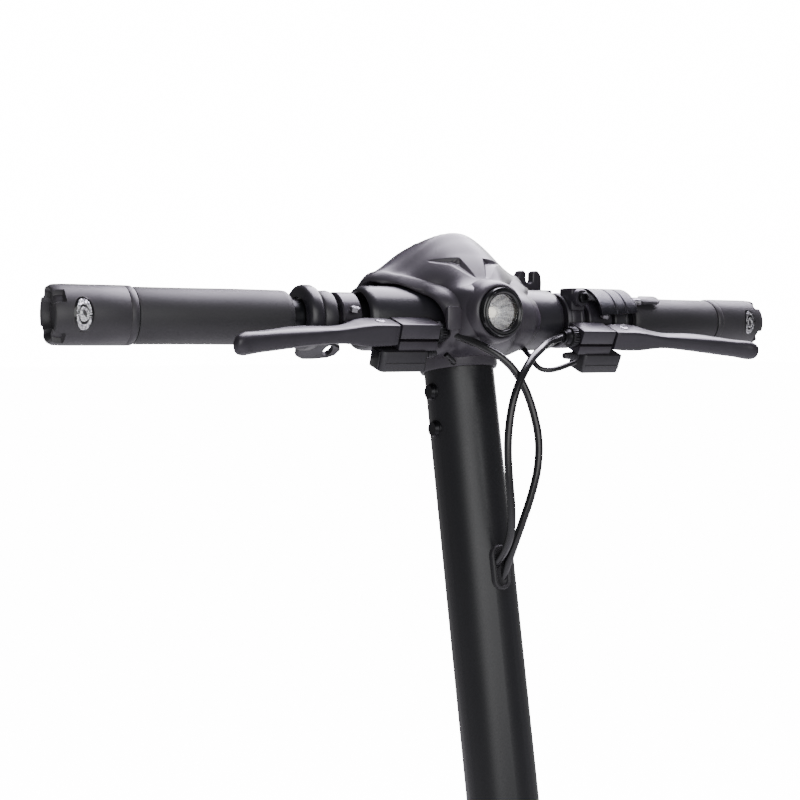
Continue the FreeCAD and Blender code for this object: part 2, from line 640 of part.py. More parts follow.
def hood_levels():
    """Levels of the hood from its rim up to its narrow peak."""
    rim = size("shell_rim")
    rise = size("hood_top") - rim
    wide = size("hood_wide")
    return [(rim, wide, 37, 42, 0.35), (rim + rise * 0.36, wide * 0.86, 26, 40, 0.32),
            (rim + rise * 0.74, wide * 0.5, 11, 30, 0.2), (rim + rise, wide * 0.2, 2, 16, 0)]


def loft(levels, inset, lift=0, top=0):
    rows = [list(row) for row in levels]
    rows[0][0] -= lift
    rows[-1][0] += top
    return Part.makeLoft([level(*row, inset) for row in rows], True, False)


def display_frame():
    """The plane of the display: local z points out of it, local y down its slope to the rider."""
    centre = Vector(0, 22, size("hood_top") - 14.7)
    return Placement(centre, Rotation(Vector(1, 0, 0), -size("screen_tilt")))


def round_tool(radius, length, start, direction):
    return Part.makeCylinder(radius, length, Vector(*start), Vector(*direction))


def panel(width, length, thick, low, centre=(0, 0)):
    """A rounded plate parallel to the display, from a height below or above its plane."""
    piece = Part.makeBox(width, length, thick, Vector(centre[0] - width / 2, centre[1] - length / 2, low))
    piece = piece.makeFillet(3, [edge for edge in piece.Edges if abs(edge.tangentAt(0).z) > 0.9])
    piece.Placement = display_frame()
    return piece


def head_shell():
    """Lower cockpit moulding: it wraps the clamp, carries the lamp and collars the stem."""
    wall = size("shell_wall")
    up = STEER.Rotation.multVec(Vector(0, 0, 1))
    foot = Vector(0, size("bar_ahead"), 0) + up * (size("shell_low") - 40)
    boss = round_tool(size("lamp_boss") / 2, size("boss_front") - 20,
                      (0, -size("boss_front"), size("lamp_z")), (0, 1, 0))
    skin = loft(shell_levels(), 0).fuse(boss)
    skin = skin.cut(loft(shell_levels(), wall))
    skin = skin.cut(round_tool(size("lamp_od") / 2 + 0.1, size("boss_front"),
                               (0, -size("boss_front") - 1, size("lamp_z")),
                               (0, 1, 0)))
    skin = skin.cut(round_tool(size("stem_od") / 2 + 0.2, 60, foot, up))
    skin = skin.cut(round_tool(size("sleeve_od") / 2 + 0.3, 200, (-100, 0, 0), SIDE))
    keep(solid(skin), "head_shell", BAR)


def display_hood():
    """Upper moulding: a hood that rises to a peak ahead of the display."""
    wall = size("shell_wall")
    skin = loft(hood_levels(), 0).cut(loft(hood_levels(), wall, 0.01, -wall))
    below = Part.makeBox(200, 200, 40, Vector(-100, -100, 0))
    below.Placement = display_frame()
    face = loft(hood_levels(), 0.5, 0.01, 0)
    slab = Part.makeBox(200, 200, wall, Vector(-100, -100, -wall))
    slab.Placement = display_frame()
    skin = skin.cut(below).fuse(face.common(slab))
    skin = skin.cut(panel(size("screen_w") + 0.4, size("screen_l") + 0.4, 12, -8))
    button = round_tool(size("button_od") / 2 + 0.2, 20, (0, size("button_down"), -10), (0, 0, 1))
    button.Placement = display_frame()
    skin = skin.cut(button)
    skin = skin.cut(round_tool(size("sleeve_od") / 2 + 0.3, 200, (-100, 0, 0), SIDE))
    keep(solid(skin), "display_hood", BAR)


def display_parts():
    """Display window, the board under it and the power button below it."""
    keep(solid(panel(size("screen_w"), size("screen_l"), size("screen_t"), -size("screen_t"))),
         "display_screen", BAR)
    board = panel(size("board_w"), size("board_l"), size("board_t"), -size("board_drop"))
    chip = Part.makeBox(14, 10, 1.4, Vector(-7, -6, -size("board_drop") - 1.4))
    chip.Placement = display_frame()
    keep(solid(board.fuse(chip)), "display_board", BAR)
    button = rod("dim.button_od / 2", "5", (0, size("button_down"), -4))
    keep(button, "mode_button", BAR.multiply(display_frame()))


def shell_sleeves():
    """Two round covers that run out along the bar from the head shell."""
    sleeves = []
    outer = "dim.sleeve_od / 2"
    length = "(dim.sleeve_end - dim.sleeve_start)"
    bore = "dim.bar_od / 2 + 0.3"
    for side in (-1, 1):
        corners = [(f"{outer} - 3", 0), (outer, 0), (outer, f"{length} - 4"), (f"{outer} - 4", length),
                   (bore, length), (bore, f"{length} - 3"), (f"{outer} - 3", f"{length} - 6")]
        sleeves.append(spin(corners, (side * size("sleeve_start"), 0, 0), (side, 0, 0)))
    keep(group(*sleeves), "shell_sleeves", BAR)


def headlight():
    """Bezel ring, reflector cup and clear lens of the headlight."""
    front = size("lamp_front")
    at = (0, -front, size("lamp_z"))
    back = (0, 1, 0)
    ring = [("dim.lamp_id / 2", 0), ("dim.lamp_od / 2 - 2", 0), ("dim.lamp_od / 2", 2),
            ("dim.lamp_od / 2", 13),
            ("dim.lamp_id / 2 + 2", 13), ("dim.lamp_id / 2 + 2", 5), ("dim.lamp_id / 2", 4)]
    keep(spin(ring, at, back), "headlight_bezel", BAR)
    cup = [("3", 20), ("dim.lamp_id / 2 + 0.4", 7), ("dim.lamp_id / 2 + 1.7", 7),
           ("dim.lamp_id / 2 + 1.7", 9),
           ("4.5", 22), ("0", 22), ("0", 20)]
    keep(spin(cup, at, back), "headlight_reflector", BAR)
    glass = [("0", 2), ("dim.lamp_id / 2 - 0.2", 3.5), ("dim.lamp_id / 2 - 0.2", 5.1),
             ("dim.lamp_id / 2 + 1.7", 5.1),
             ("dim.lamp_id / 2 + 1.7", 6.8), ("0", 6.8)]
    keep(spin(glass, at, back), "headlight_lens", BAR)


head_shell()
display_hood()
display_parts()
shell_sleeves()
headlight()


# ---------------------------------------------------------------- brake levers and brackets
def lever_frame(side):
    tilted = size("lever_tilt_left") if side > 0 else size("lever_tilt_right")
    return BAR.multiply(Placement(Vector(), Rotation(Vector(1, 0, 0), tilted)))


def pivot_x(side):
    return size("pivot_left") if side > 0 else size("pivot_right")


def beside(side, low, high):
    """Lowest x of a stretch measured outwards from a lever's pivot."""
    return min(side * (pivot_x(side) + low), side * (pivot_x(side) + high))


def brake_bracket(name, side):
    """Cast bracket: a clamp round the bar, a block with the barrel adjuster and a tongue for the lever."""
    hand = "left" if side > 0 else "right"
    inner = size("bracket_in")
    gap = size("bracket_gap")
    front = size("bracket_front")
    back = size("bracket_back")
    low = size("bracket_low")
    at = size(f"clamp_{hand}_at")
    wide = size(f"clamp_{hand}_w")
    ring = rod(f"dim.clamp_{hand}_od / 2", f"dim.clamp_{hand}_w", (side * at, 0, 0), (side, 0, 0))
    body = block("dim.bracket_in - dim.bracket_gap", "dim.bracket_front - dim.bracket_back",
                 "dim.bracket_top + dim.bracket_low", (beside(side, -inner, -gap), -front, -low))
    tongue = block("dim.bracket_gap + dim.tongue_out + 1", "dim.pivot_out + 7 - dim.bracket_back",
                   "dim.tongue_thick",
                   (beside(side, -gap - 1, size("tongue_out")), -size("pivot_out") - 7,
                    -size("tongue_thick") / 2))
    reach = sorted([side * at, side * (at + wide), side * (pivot_x(side) - gap)])
    arm = block(str(reach[2] - reach[0]), "5", "dim.tongue_thick",
                (reach[0], -back - 5, -size("tongue_thick") / 2))
    neck = block(f"dim.clamp_{hand}_w", "dim.bracket_back - 9", "dim.tongue_thick",
                 (min(side * at, side * (at + wide)), -back - 0.5, -size("tongue_thick") / 2))
    thread = rod("dim.adjuster_od / 2 - 1", "dim.adjuster_len",
                 (side * (pivot_x(side) - inner + 1), -size("adjuster_u"), 0),
                 (-side, 0, 0))
    wheel = rod("dim.wheel_od / 2", "dim.wheel_w", (side * (pivot_x(side) - inner - 1), -size("adjuster_u"),
                                                    0), (-side, 0, 0))
    bore = rod("dim.bar_od / 2 + 0.03", "200", (side * 30, 0, 0), (side, 0, 0))
    pin_hole = rod("dim.pivot_od / 2 + 0.02", "80", (side * pivot_x(side), -size("pivot_out"), -40))
    keep(cut(fuse(ring, body, tongue, arm, neck, thread, wheel), bore, pin_hole), name, lever_frame(side))


def brake_lever(name, side):
    """Long curved lever, forked over the bracket's tongue, narrow at its neck, with a round tip."""
    shape = [(-11, 0), (-10, 8), (6, 9), (22, 10), (34, 10.5), (52, 15), (76, 21), (96, 27), (103, 30),
             (106, 27), (104, 20.5), (94, 17), (74, 9), (54, 3), (40, 1), (24, 0), (14, -5), (5, -6.5),
             (-9, -6.5)]
    corners = [(side * (pivot_x(side) + out), -(size("pivot_out") + ahead)) for out, ahead in shape]
    lever = plate("XY_Plane", corners, "dim.lever_thick")
    hole = rod("dim.pivot_od / 2 + dim.run_fit", "80", (side * pivot_x(side), -size("pivot_out"), -40))
    slot = block("dim.bracket_gap + dim.tongue_out + 12", "60", "dim.tongue_thick + dim.lever_slack",
                 (beside(side, -size("bracket_gap") - 1, size("tongue_out") + 11), -size("pivot_out") - 30,
                  -size("tongue_thick") / 2 - size("lever_slack") / 2))
    keep(cut(lever, hole, slot), name, lever_frame(side))


def brake_switches():
    """Small switch box under each bracket, with the ribbed relief of its wire."""
    boxes = []
    for side in (-1, 1):
        top = -size("bracket_low") - 0.1
        low = top - size("switch_h")
        inner = size("bracket_in") - 6
        front = size("bracket_front") + 1
        box = block("dim.switch_l", "dim.switch_w", "dim.switch_h",
                    (beside(side, -inner, size("switch_l") - inner), -front, low))
        relief = rod("3.4", "11", (side * (pivot_x(side) - inner + 1), 8 - front, top - 6), (-side, 0, 0))
        pair = fuse(box, relief)
        pair.Placement = BAR.inverse().multiply(lever_frame(side))
        boxes.append(pair)
    keep(group(*boxes), "brake_switches", BAR)


for hand, side in (("right", -1), ("left", 1)):
    brake_bracket(f"brake_bracket_{hand}", side)
    brake_lever(f"brake_lever_{hand}", side)
brake_switches()


# ---------------------------------------------------------------- throttle, bell, hook, bolts
def throttle():
    """Thumb throttle: a fixed housing and a paddle that turns about the bar."""
    end = size("throttle_end")
    housing = spin([("dim.bar_od / 2 + 0.05", 0), ("dim.throttle_od / 2 - 1.5", 0),
                    ("dim.throttle_od / 2", 1.5),
                    ("dim.throttle_od / 2", "dim.throttle_end - dim.throttle_in - 3"),
                    ("dim.throttle_od / 2 - 3", "dim.throttle_end - dim.throttle_in"),
                    ("dim.bar_od / 2 + 0.05", "dim.throttle_end - dim.throttle_in")], (-end, 0, 0), SIDE)
    keep(housing, "throttle_housing", BAR)
    start = -size("throttle_in") + 0.4
    ring = rod("dim.paddle_ring / 2", "dim.throttle_in - dim.paddle_in - 0.8", (start, 0, 0), SIDE)
    blade = block("dim.throttle_in - dim.paddle_tip", "dim.paddle_reach - 17", "dim.paddle_thick", (0, 0, 0))
    stalk = block("dim.throttle_in - dim.paddle_in - 0.8", "12", "dim.paddle_thick", (0, 0, 0))
    lean = Placement(Vector(), Rotation(Vector(1, 0, 0), -45))
    blade.Placement = lean.multiply(Placement(Vector(start, 17, -size("paddle_thick") / 2), Rotation()))
    stalk.Placement = lean.multiply(Placement(Vector(start, 12, -size("paddle_thick") / 2), Rotation()))
    bore = rod("dim.bar_od / 2 + dim.run_fit", "200", (-180, 0, 0), SIDE)
    keep(cut(fuse(ring, blade, stalk), bore), "throttle_paddle", BAR)


def hook_clamp():
    """Clamp with a forked catch that the folded stem hangs on the rear fender by."""
    low = size("hook_in")
    ring = rod("dim.hook_od / 2", "dim.hook_end - dim.hook_in", (low, 0, 0), SIDE)
    boss = rod("6", "8", (low + 7, -24, 15), (0, 1, 0))
    lug = block("12", "14", "16", (low + 1, -20, 6))
    arm = block("12", "12", "8", (low, 14, 14))
    tab = block("21", "7", "16", (low - 15, 19, 19))
    slot = rod("2.8", "20", (low - 4.5, 10, 29), (0, 1, 0))
    mouth = block("5.6", "20", "20", (low - 7.3, 10, 29))
    bore = rod("dim.bar_od / 2 + 0.03", "100", (low - 40, 0, 0), SIDE)
    sleeve_room = rod("dim.sleeve_od / 2 + 1", "40", (low - 42, 0, 0), SIDE)
    keep(cut(fuse(ring, boss, lug, arm, tab), slot, mouth, bore, sleeve_room), "hook_clamp", BAR)


def bell():
    """Bell round the bar: a clamp, an arched chime and a sprung striker."""
    base = rod("dim.bell_od / 2", "dim.bell_end - dim.bell_in", (size("bell_in"), 0, 0), SIDE)
    post = rod("4", "dim.chime_r - dim.chime_t - dim.bell_od / 2 + 1.7",
               (size("bell_in") + 5, 0, size("bell_od") / 2 - 2.2))
    bore = rod("dim.bar_od / 2 + 0.03", "100", (80, 0, 0), SIDE)
    keep(cut(fuse(base, post), bore), "bell_base", BAR)
    arch = cut(rod("dim.chime_r", "dim.chime_end - dim.chime_in", (size("chime_in"), 0, 0), SIDE),
               rod("dim.chime_r - dim.chime_t", "100", (80, 0, 0), SIDE))
    upper = block("100", "80", "40", (80, -40, 4))
    keep(common(arch, upper), "bell_chime", BAR)
    hub = rod("dim.bar_od / 2 + 3.4", "2.4", (size("bell_end") + 0.4, 0, 0), SIDE)
    seat = size("chime_r") - size("chime_t") - 3.4
    stalk = block("dim.striker_end - dim.bell_end - 0.4", "4", "2.6", (0, 0, 0))
    tip = block("20", "8", "2.6", (0, 0, 0))
    rise = block("2.4", "4", "dim.chime_r - dim.chime_t - dim.bar_od / 2 - 2.2", (0, 0, 0))
    lean = Placement(Vector(), Rotation(Vector(1, 0, 0), 38))
    stalk.Placement = lean.multiply(Placement(Vector(size("bell_end") + 0.4, -2, seat), Rotation()))
    tip.Placement = lean.multiply(Placement(Vector(size("striker_end") - 20, -4, seat), Rotation()))
    rise.Placement = lean.multiply(Placement(Vector(size("bell_end") + 0.4, -2, size("bar_od") / 2 + 0.4),
                                             Rotation()))
    striker_bore = rod("dim.bar_od / 2 + dim.run_fit", "100", (80, 0, 0), SIDE)
    keep(cut(fuse(hub, stalk, tip, rise), striker_bore), "bell_striker", BAR)


def stem_fasteners():
    """Button-head bolts of the stem and the pins of the levers, the latch and the fold."""
    hinge = (size("fold_y"), size("fold_s"))
    shaft = rod("dim.pin_od / 2", "dim.base_width + 4", (-size("base_width") / 2 - 2, *hinge), SIDE)
    head = rod("dim.pin_od / 2 + 3", "3", (size("base_width") / 2 + 0.2, *hinge), SIDE)
    parts = [fuse(shaft, head)]
    for at in ("bolt_high", "bolt_low"):
        parts.append(spin([("0", 0), ("dim.bolt_od / 2", 0), ("dim.bolt_od / 2", "dim.stem_od / 2 - 13.9"),
                           ("dim.bolt_od / 2 + 2.4", "dim.stem_od / 2 - 13.9"),
                           ("dim.bolt_od / 2 + 1.4", "dim.stem_od / 2 - 11.2"),
                           ("0", "dim.stem_od / 2 - 11.2")],
                          (-14, 0, size(at)), (-1, 0, 0)))
    for side in (-1, 1):
        pin = rod("dim.pivot_od / 2", "dim.lever_thick + 2", (0, 0, 0))
        pin.Placement = STEER.inverse().multiply(lever_frame(side)).multiply(
            Placement(Vector(side * pivot_x(side), -size("pivot_out"), -size("lever_thick") / 2 - 1),
                      Rotation()))
        parts.append(pin)
    reach = size("latch_width") / 2 + 8
    parts.append(rod("2.5", "dim.latch_width + 16", (-reach, size("latch_y"), size("latch_s")), SIDE))
    keep(group(*parts), "stem_fasteners", STEER)


throttle()
hook_clamp()
bell()
stem_fasteners()


# ---------------------------------------------------------------- deck and what it carries
def neck_outline():
    """Side outline of the neck, clear of the front wheel, from the deck to the head tube."""
    axis = STEER.multVec(Vector(0, size("head_od") / 2 - 6, size("head_low") + 8))
    top = STEER.multVec(Vector(0, size("head_od") / 2 - 6, size("head_high") - 8))
    front = size("deck_front")
    low = size("deck_low")
    high = size("deck_top")
    reach = wheel_r + size("fender_gap") + size("fender_t") + 8
    elbow = FRONT.Base + Vector(0, math.cos(math.radians(42)), math.sin(math.radians(42))) * reach
    return [(front - 14, low + 6), (elbow.y, elbow.z), (axis.y, axis.z), (top.y, top.z),
            (top.y + 30, top.z - 16),
            (elbow.y + 62, elbow.z + 22), (front + 30, high - 1), (front + 30, low + 6)]


def stand_bracket():
    """Welded bracket of the kickstand under the deck's left edge."""
    x = size("stand_x")
    y = size("stand_y")
    z = size("stand_z")
    flange = block("26", "40", "4.3", (x - 16, y - 20, size("deck_low") - 4.1))
    pivot_hole = rod("4.1", "30", (x - 24, y, z), SIDE)
    return cut(fuse(flange, block("8", "24", "20", (x - 14, y - 12, z - 10))), pivot_hole)


def deck_tray():
    """The closed block that the deck's tray is hollowed out of."""
    low = size("deck_low") + size("belly_t") + 0.2
    return block("dim.deck_w", "dim.deck_back - dim.deck_front",
                 "dim.deck_top - dim.deck_low - dim.belly_t - 0.2",
                 (-size("deck_w") / 2, size("deck_front"), low))


def deck_frame():
    """Box-section deck, open below, with its tail block."""
    wall = size("deck_wall")
    low = size("deck_low") + size("belly_t") + 0.2
    room = block("dim.deck_w - 2 * dim.deck_wall", "dim.deck_back - dim.deck_front - 2 * dim.deck_wall",
                 "dim.deck_top - dim.deck_low - dim.deck_wall",
                 (-size("deck_w") / 2 + wall, size("deck_front") + wall, size("deck_low")))
    tail = block("dim.fender_w + 20", "14", "dim.deck_top - dim.deck_low - dim.belly_t - 0.2",
                 (-size("fender_w") / 2 - 10, size("deck_back") - 10, low))
    port = rod("dim.port_od / 2 + 0.1", "20", (size("deck_w") / 2 - 12, size("port_y"), size("port_z")), SIDE)
    keep(cut(fuse(deck_tray(), tail), room, port), "deck_frame")


def head_neck():
    """Rising neck welded to the front of the deck, with the head tube at its top."""
    neck = plate("YZ_Plane", neck_outline(), "dim.neck_w")
    turn_r = math.hypot(size("leg_gap") / 2 + size("leg_thick"), size("fork_offset") + size("leg_depth") / 2)
    turn_room = rod(str(turn_r + size("turn_gap")), "300", (0, 0, size("head_low") - 300))
    turn_room.Placement = STEER.multiply(turn_room.Placement)
    tube = rod("dim.head_od / 2", "dim.head_high - dim.head_low", (0, 0, size("head_low")))
    tube.Placement = STEER.multiply(tube.Placement)
    bore = rod("dim.head_id / 2", "200", (0, 0, size("head_low") - 50))
    bore.Placement = STEER.multiply(bore.Placement)
    keep(cut(fuse(cut(neck, turn_room, deck_tray()), tube), bore), "head_neck")


def deck_fittings():
    """Grip mat on the deck, belly plate under it and the plate's screws."""
    back = size("deck_back") - 44
    front = size("deck_front") + 60
    mat = block("dim.mat_w", str(back - front), "dim.mat_t",
                (-size("mat_w") / 2, front, size("deck_top") + 0.05))
    rounded = doc.addObject("Part::Fillet", "rounded")
    rounded.Base = mat
    doc.recompute()
    upright = [i for i, edge in enumerate(mat.Shape.Edges, 1) if abs(edge.tangentAt(0).z) > 0.9]
    rounded.Edges = [(i, 18, 18) for i in upright]
    keep(rounded, "deck_mat")
    belly = block("dim.deck_w", "dim.deck_back - dim.deck_front", "dim.belly_t",
                  (-size("deck_w") / 2, size("deck_front"), size("deck_low")))
    holes = []
    screws = []
    for side in (-1, 1):
        for step in range(5):
            x = side * (size("deck_w") / 2 - 14)
            y = size("deck_front") + 30 + step * (size("deck_back") - size("deck_front") - 60) / 4
            holes.append(rod("dim.screw_od / 2 + 0.1", "10", (x, y, size("deck_low") - 2)))
            shank = rod("dim.screw_od / 2", "8", (x, y, size("deck_low")))
            head = rod("dim.screw_od", "2", (x, y, size("deck_low") - 2.1))
            neck = rod("dim.screw_od / 2", "1", (x, y, size("deck_low") - 0.6))
            screws.append(fuse(shank, neck, head))
    keep(cut(fuse(belly, stand_bracket()), *holes), "deck_belly_plate")
    keep(group(*screws), "deck_screws")


def deck_electrics():
    """Battery pack, motor controller and the charging socket in the deck's side."""
    low = size("deck_low") + size("belly_t") + 2
    start = size("deck_front") + 45
    keep(block("dim.battery_w", "dim.battery_l", "dim.battery_h", (-size("battery_w") / 2, start, low)),
         "battery_pack")
    keep(block("dim.battery_w - 20", "dim.control_l", "dim.control_h",
               (-size("battery_w") / 2 + 10, start + size("battery_l") + 8, low)), "motor_controller")
    at = size("deck_w") / 2
    y = size("port_y")
    z = size("port_z")
    barrel = rod("dim.port_od / 2", "12", (at - 11, y, z), SIDE)
    flange = rod("dim.port_od / 2 + 3", "1.6", (at + 0.1, y, z), SIDE)
    bore = rod("dim.port_r", "dim.port_deep + 5", (at + 1.7 - size("port_deep"), y, z), SIDE)
    keep(cut(fuse(barrel, flange), bore), "charge_port")


def rear_dropouts():
    """Two forged plates from the deck's tail to the rear axle."""
    gap = size("dropout_gap") / 2
    back = size("deck_back")
    low = size("deck_low") + size("belly_t") + 3
    start = back + 4.2
    corners = [(start, low), (rear_y - 12, wheel_r - 18), (rear_y + 18, wheel_r - 16), (rear_y + 22, wheel_r),
               (rear_y + 18, wheel_r + 16), (rear_y - 14, wheel_r + 18), (start + 36, low + 34),
               (start, low + 36)]
    plates = []
    for side in (-1, 1):
        plates.append(plate("YZ_Plane", corners, "dim.dropout_t",
                            (side * (gap + size("dropout_t") / 2), 0, 0)))
    bars = fuse(*plates)
    axle = rod("dim.axle_od / 2 + 0.05", "300", (-150, rear_y, wheel_r), SIDE)
    bridge = block("dim.dropout_gap + 2", "8", "32", (-gap - 1, start, low + 1))
    keep(cut(fuse(bars, bridge), axle), "rear_dropouts")


def rear_fender():
    """Mudguard from the deck's tail over the rear wheel, with a foot screwed to the deck."""
    inner = "dim.wheel_radius + dim.fender_gap"
    ring = cut(rod(f"{inner} + dim.fender_t", "dim.fender_w", (-size("fender_w") / 2, 0, 0), SIDE),
               rod(inner, "200", (-100, 0, 0), SIDE))
    far = wheel_r + 60
    wedge = plate("YZ_Plane", [(0, 0), (far, -0.1 * far), (far, far), (-far, far), (-far, 0.2 * far)], "300")
    shell = common(ring, wedge)
    shell.Placement = REAR
    top = size("deck_top") + 0.1
    toe = rear_y - wheel_r - size("fender_gap")
    foot = block("dim.fender_w", "40", "dim.fender_t", (-size("fender_w") / 2, toe - 38, top))
    hook = block("16", "8", "12", (-8, rear_y - 30, 2 * wheel_r + size("fender_gap") - 2))
    keep(fuse(shell, foot, hook), "rear_fender")


def tail_light():
    """Rear lamp in its housing, on the back of the rear fender."""
    reach = wheel_r + size("fender_gap") + size("fender_t")
    lamp = block("44", "9", "22", (-22, 0.15 + reach, -11))
    turned = Placement(REAR.Base, Rotation(Vector(1, 0, 0), 32))
    keep(lamp, "tail_light", turned)


def rear_caliper():
    """Cable disc caliper that straddles the rear rotor, with its moving arm."""
    turn = Placement(REAR.Base, Rotation(Vector(1, 0, 0), 150))
    at = size("disc_x")
    reach = size("disc_radius")
    body = block("20", "38", "44", (at - 10, reach - 20, -22))
    groove = block("5", "60", "60", (at - 2.5, reach - 50, -30))
    body_cut = cut(body, groove)
    keep(body_cut, "rear_caliper", turn)
    lever = block("4", "10", "42", (at + 10.4, reach + 1, -27))
    eye = rod("8", "4", (at + 10.4, reach + 6, 16), SIDE)
    hole = rod("1.8", "10", (at + 8, reach + 6, -22), SIDE)
    keep(cut(fuse(lever, eye), hole), "rear_caliper_arm", turn)


def kickstand():
    """Side stand: a bracket under the deck's left edge and the leg that turns on it."""
    x = size("stand_x")
    y = size("stand_y")
    z = size("stand_z")
    lean = math.tan(math.radians(size("stand_lean")))
    foot = Vector(x + size("stand_out"), y - z * lean, 0)
    knee = Vector(x + 4, y, z)
    run = foot - knee
    leg = rod("dim.stand_od / 2", str(run.Length - 5), knee, run)
    pivot = rod("4", "24", (x - 16, y, z), SIDE)
    hub = rod("7.4", "12", (x - 5, y, z), SIDE)
    pad = block("28", "22", "dim.stand_foot", (foot.x - 14, foot.y - 11, 0))
    keep(fuse(leg, pivot, hub, pad), "kickstand")


deck_frame()
head_neck()
deck_fittings()
deck_electrics()
rear_dropouts()
rear_fender()
tail_light()
rear_caliper()
kickstand()


# ---------------------------------------------------------------- cables that the scooter holds
def hand_cables():
    """Brake cables from both adjusters, in loops ahead of the stem, into its gland."""
    left_start = lever_frame(1).multVec(Vector(pivot_x(1) - size("bracket_in") - 11.1, -size("adjuster_u"),
                                               0)) - BAR.Base
    right_start = lever_frame(-1).multVec(Vector(-pivot_x(-1) + size("bracket_in") + 11.1,
                                                 -size("adjuster_u"), 0)) - BAR.Base
    left = [tuple(left_start), (54, -33, -13.6), (43, -41.5, -15), (30.5, -51.5, -18.5), (17, -60, -23.5),
            (5.5, -66, -32), (-3.5, -68.5, -45), (-8.5, -69.5, -61), (-10, -69.5, -79), (-8.6, -69.5, -98),
            (-5.6, -68.4, -116), (-3, -64.5, -132), (-2.4, -57.5, -144), (-2.4, -50.5, -151)]
    right = [tuple(right_start), (-18.5, -36, -12.5), (-13, -47, -17), (-6, -54.5, -22.5), (2, -59.5, -31),
             (9, -62.5, -43.5), (13.4, -65, -58), (16, -67.5, -75), (14.4, -68.4, -93), (10.6, -66, -111),
             (6.4, -61.5, -129), (3.6, -55.7, -146), (2.4, -49.6, -160)]
    radius = size("cable_od") / 2
    return [cable(left, radius), cable(right, radius)]


def lower_cables():
    """Brake cables from the crown to the drum's arm and from the deck's tail to the caliper."""
    radius = size("cable_od") / 2
    front_face = -size("crown_depth") / 2 - 0.6
    front = [(44, front_face, -866), (44, -36, -867), (43.4, -51, -876), (42.4, -61, -893),
             (41.6, -63.5, -913),
             (41.3, -60, -932), (41.3, -51.5, -946), (41.3, -42, -951)]
    front = [(x, y, s + size("lower_rise")) for x, y, s in front]
    rear = [(50, size("deck_back") + 4.1, 146.8), (50.5, 317, 147.2), (51.6, 331, 150.5), (52.8, 346, 157),
            (53.4, 361, 165), (53.4, 375, 171)]
    keep(solid(cable(front, radius)), "front_brake_cable", STEER)
    keep(solid(cable(rear, radius)), "rear_brake_cable")


def switch_wires():
    """Thin wires from the brake switches back into the underside of the head shell."""
    radius = size("wire_od") / 2
    left = [(71.5, -34, -28), (60, -34.5, -31.5), (50, -34, -33.5), (44, -30, -32), (42, -25, -25),
            (41, -18, -19)]
    right = [(-29.5, -31.5, -22.5), (-25, -31, -25.5), (-21.5, -29, -28), (-19.8, -25.5, -27.4)]
    return [cable(left, radius), cable(right, radius)]


keep(solid(Part.makeCompound(hand_cables() + switch_wires())), "cockpit_cables", BAR)
lower_cables()

doc.recompute()
failed = [item.Name for item in doc.Objects if "Invalid" in item.State or "Error" in item.State]
if failed:
    raise RuntimeError(f"features failed: {failed}")
for piece in nodes:
    if piece.Shape.isNull() or not piece.Shape.isValid():
        raise RuntimeError(f"bad shape: {piece.Label}")

os.makedirs("parts", exist_ok=True)
for piece in nodes:
    piece.Shape.exportStep(f"parts/{piece.Label}.step")
print(len(nodes), "sub-parts")
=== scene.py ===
import json
import math
import bmesh
import bpy
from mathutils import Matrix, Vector


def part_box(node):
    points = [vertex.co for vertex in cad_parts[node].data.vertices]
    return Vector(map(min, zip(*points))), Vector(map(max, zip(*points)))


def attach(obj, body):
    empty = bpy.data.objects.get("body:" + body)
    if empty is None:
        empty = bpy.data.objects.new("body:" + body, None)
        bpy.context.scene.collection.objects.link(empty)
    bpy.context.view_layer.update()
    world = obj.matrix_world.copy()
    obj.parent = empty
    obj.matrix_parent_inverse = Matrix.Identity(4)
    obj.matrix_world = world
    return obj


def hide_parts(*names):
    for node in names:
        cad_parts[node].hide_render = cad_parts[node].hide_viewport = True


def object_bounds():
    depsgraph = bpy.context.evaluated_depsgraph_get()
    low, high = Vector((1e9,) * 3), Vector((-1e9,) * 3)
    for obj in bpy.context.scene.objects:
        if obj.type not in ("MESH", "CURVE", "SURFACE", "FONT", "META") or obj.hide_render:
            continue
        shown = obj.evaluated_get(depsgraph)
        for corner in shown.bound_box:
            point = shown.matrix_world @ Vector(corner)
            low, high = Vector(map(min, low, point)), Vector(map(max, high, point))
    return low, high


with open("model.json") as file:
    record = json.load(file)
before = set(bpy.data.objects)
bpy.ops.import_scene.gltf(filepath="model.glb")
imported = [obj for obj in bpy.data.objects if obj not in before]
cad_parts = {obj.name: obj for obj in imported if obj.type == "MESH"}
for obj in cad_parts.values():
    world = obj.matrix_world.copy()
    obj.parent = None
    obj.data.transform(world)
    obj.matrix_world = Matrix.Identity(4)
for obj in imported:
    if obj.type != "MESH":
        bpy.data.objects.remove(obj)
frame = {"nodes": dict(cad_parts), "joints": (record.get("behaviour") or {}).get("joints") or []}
cad_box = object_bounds()
NODES = frame["nodes"]
JOINTS = {joint["name"]: joint for joint in frame["joints"]}
MM = 0.001
X = Vector((1, 0, 0))

# ---- Camera, floor and light
# A studio sweep: a pale floor, one large soft box overhead and two weaker panels at the sides.
# The handlebar's centre is the origin that the camera and all of the cockpit are placed from.
bar_low, bar_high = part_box("handlebar_tube")
BAR = (bar_low + bar_high) / 2


def at_bar(x, y, z):
    """A place in millimetres from the middle of the handlebar, as a point in metres."""
    return BAR + Vector((x, y, z)) * MM


def linear(code):
    """A colour from its sRGB hex code to the linear values that a shader takes."""
    parts = [int(code[i:i + 2], 16) / 255 for i in (1, 3, 5)]
    return tuple(c / 12.92 if c <= 0.04045 else ((c + 0.055) / 1.055) ** 2.4 for c in parts) + (1.0,)


def add(tree, kind, links=None, **settings):
    """Adds a node to a tree, with its settings, its input values and its links."""
    made = tree.nodes.new(kind)
    for key, value in settings.items():
        if key in made.inputs:
            made.inputs[key].default_value = value
        else:
            setattr(made, key, value)
    for key, source in (links or {}).items():
        tree.links.new(source, made.inputs[key])
    return made


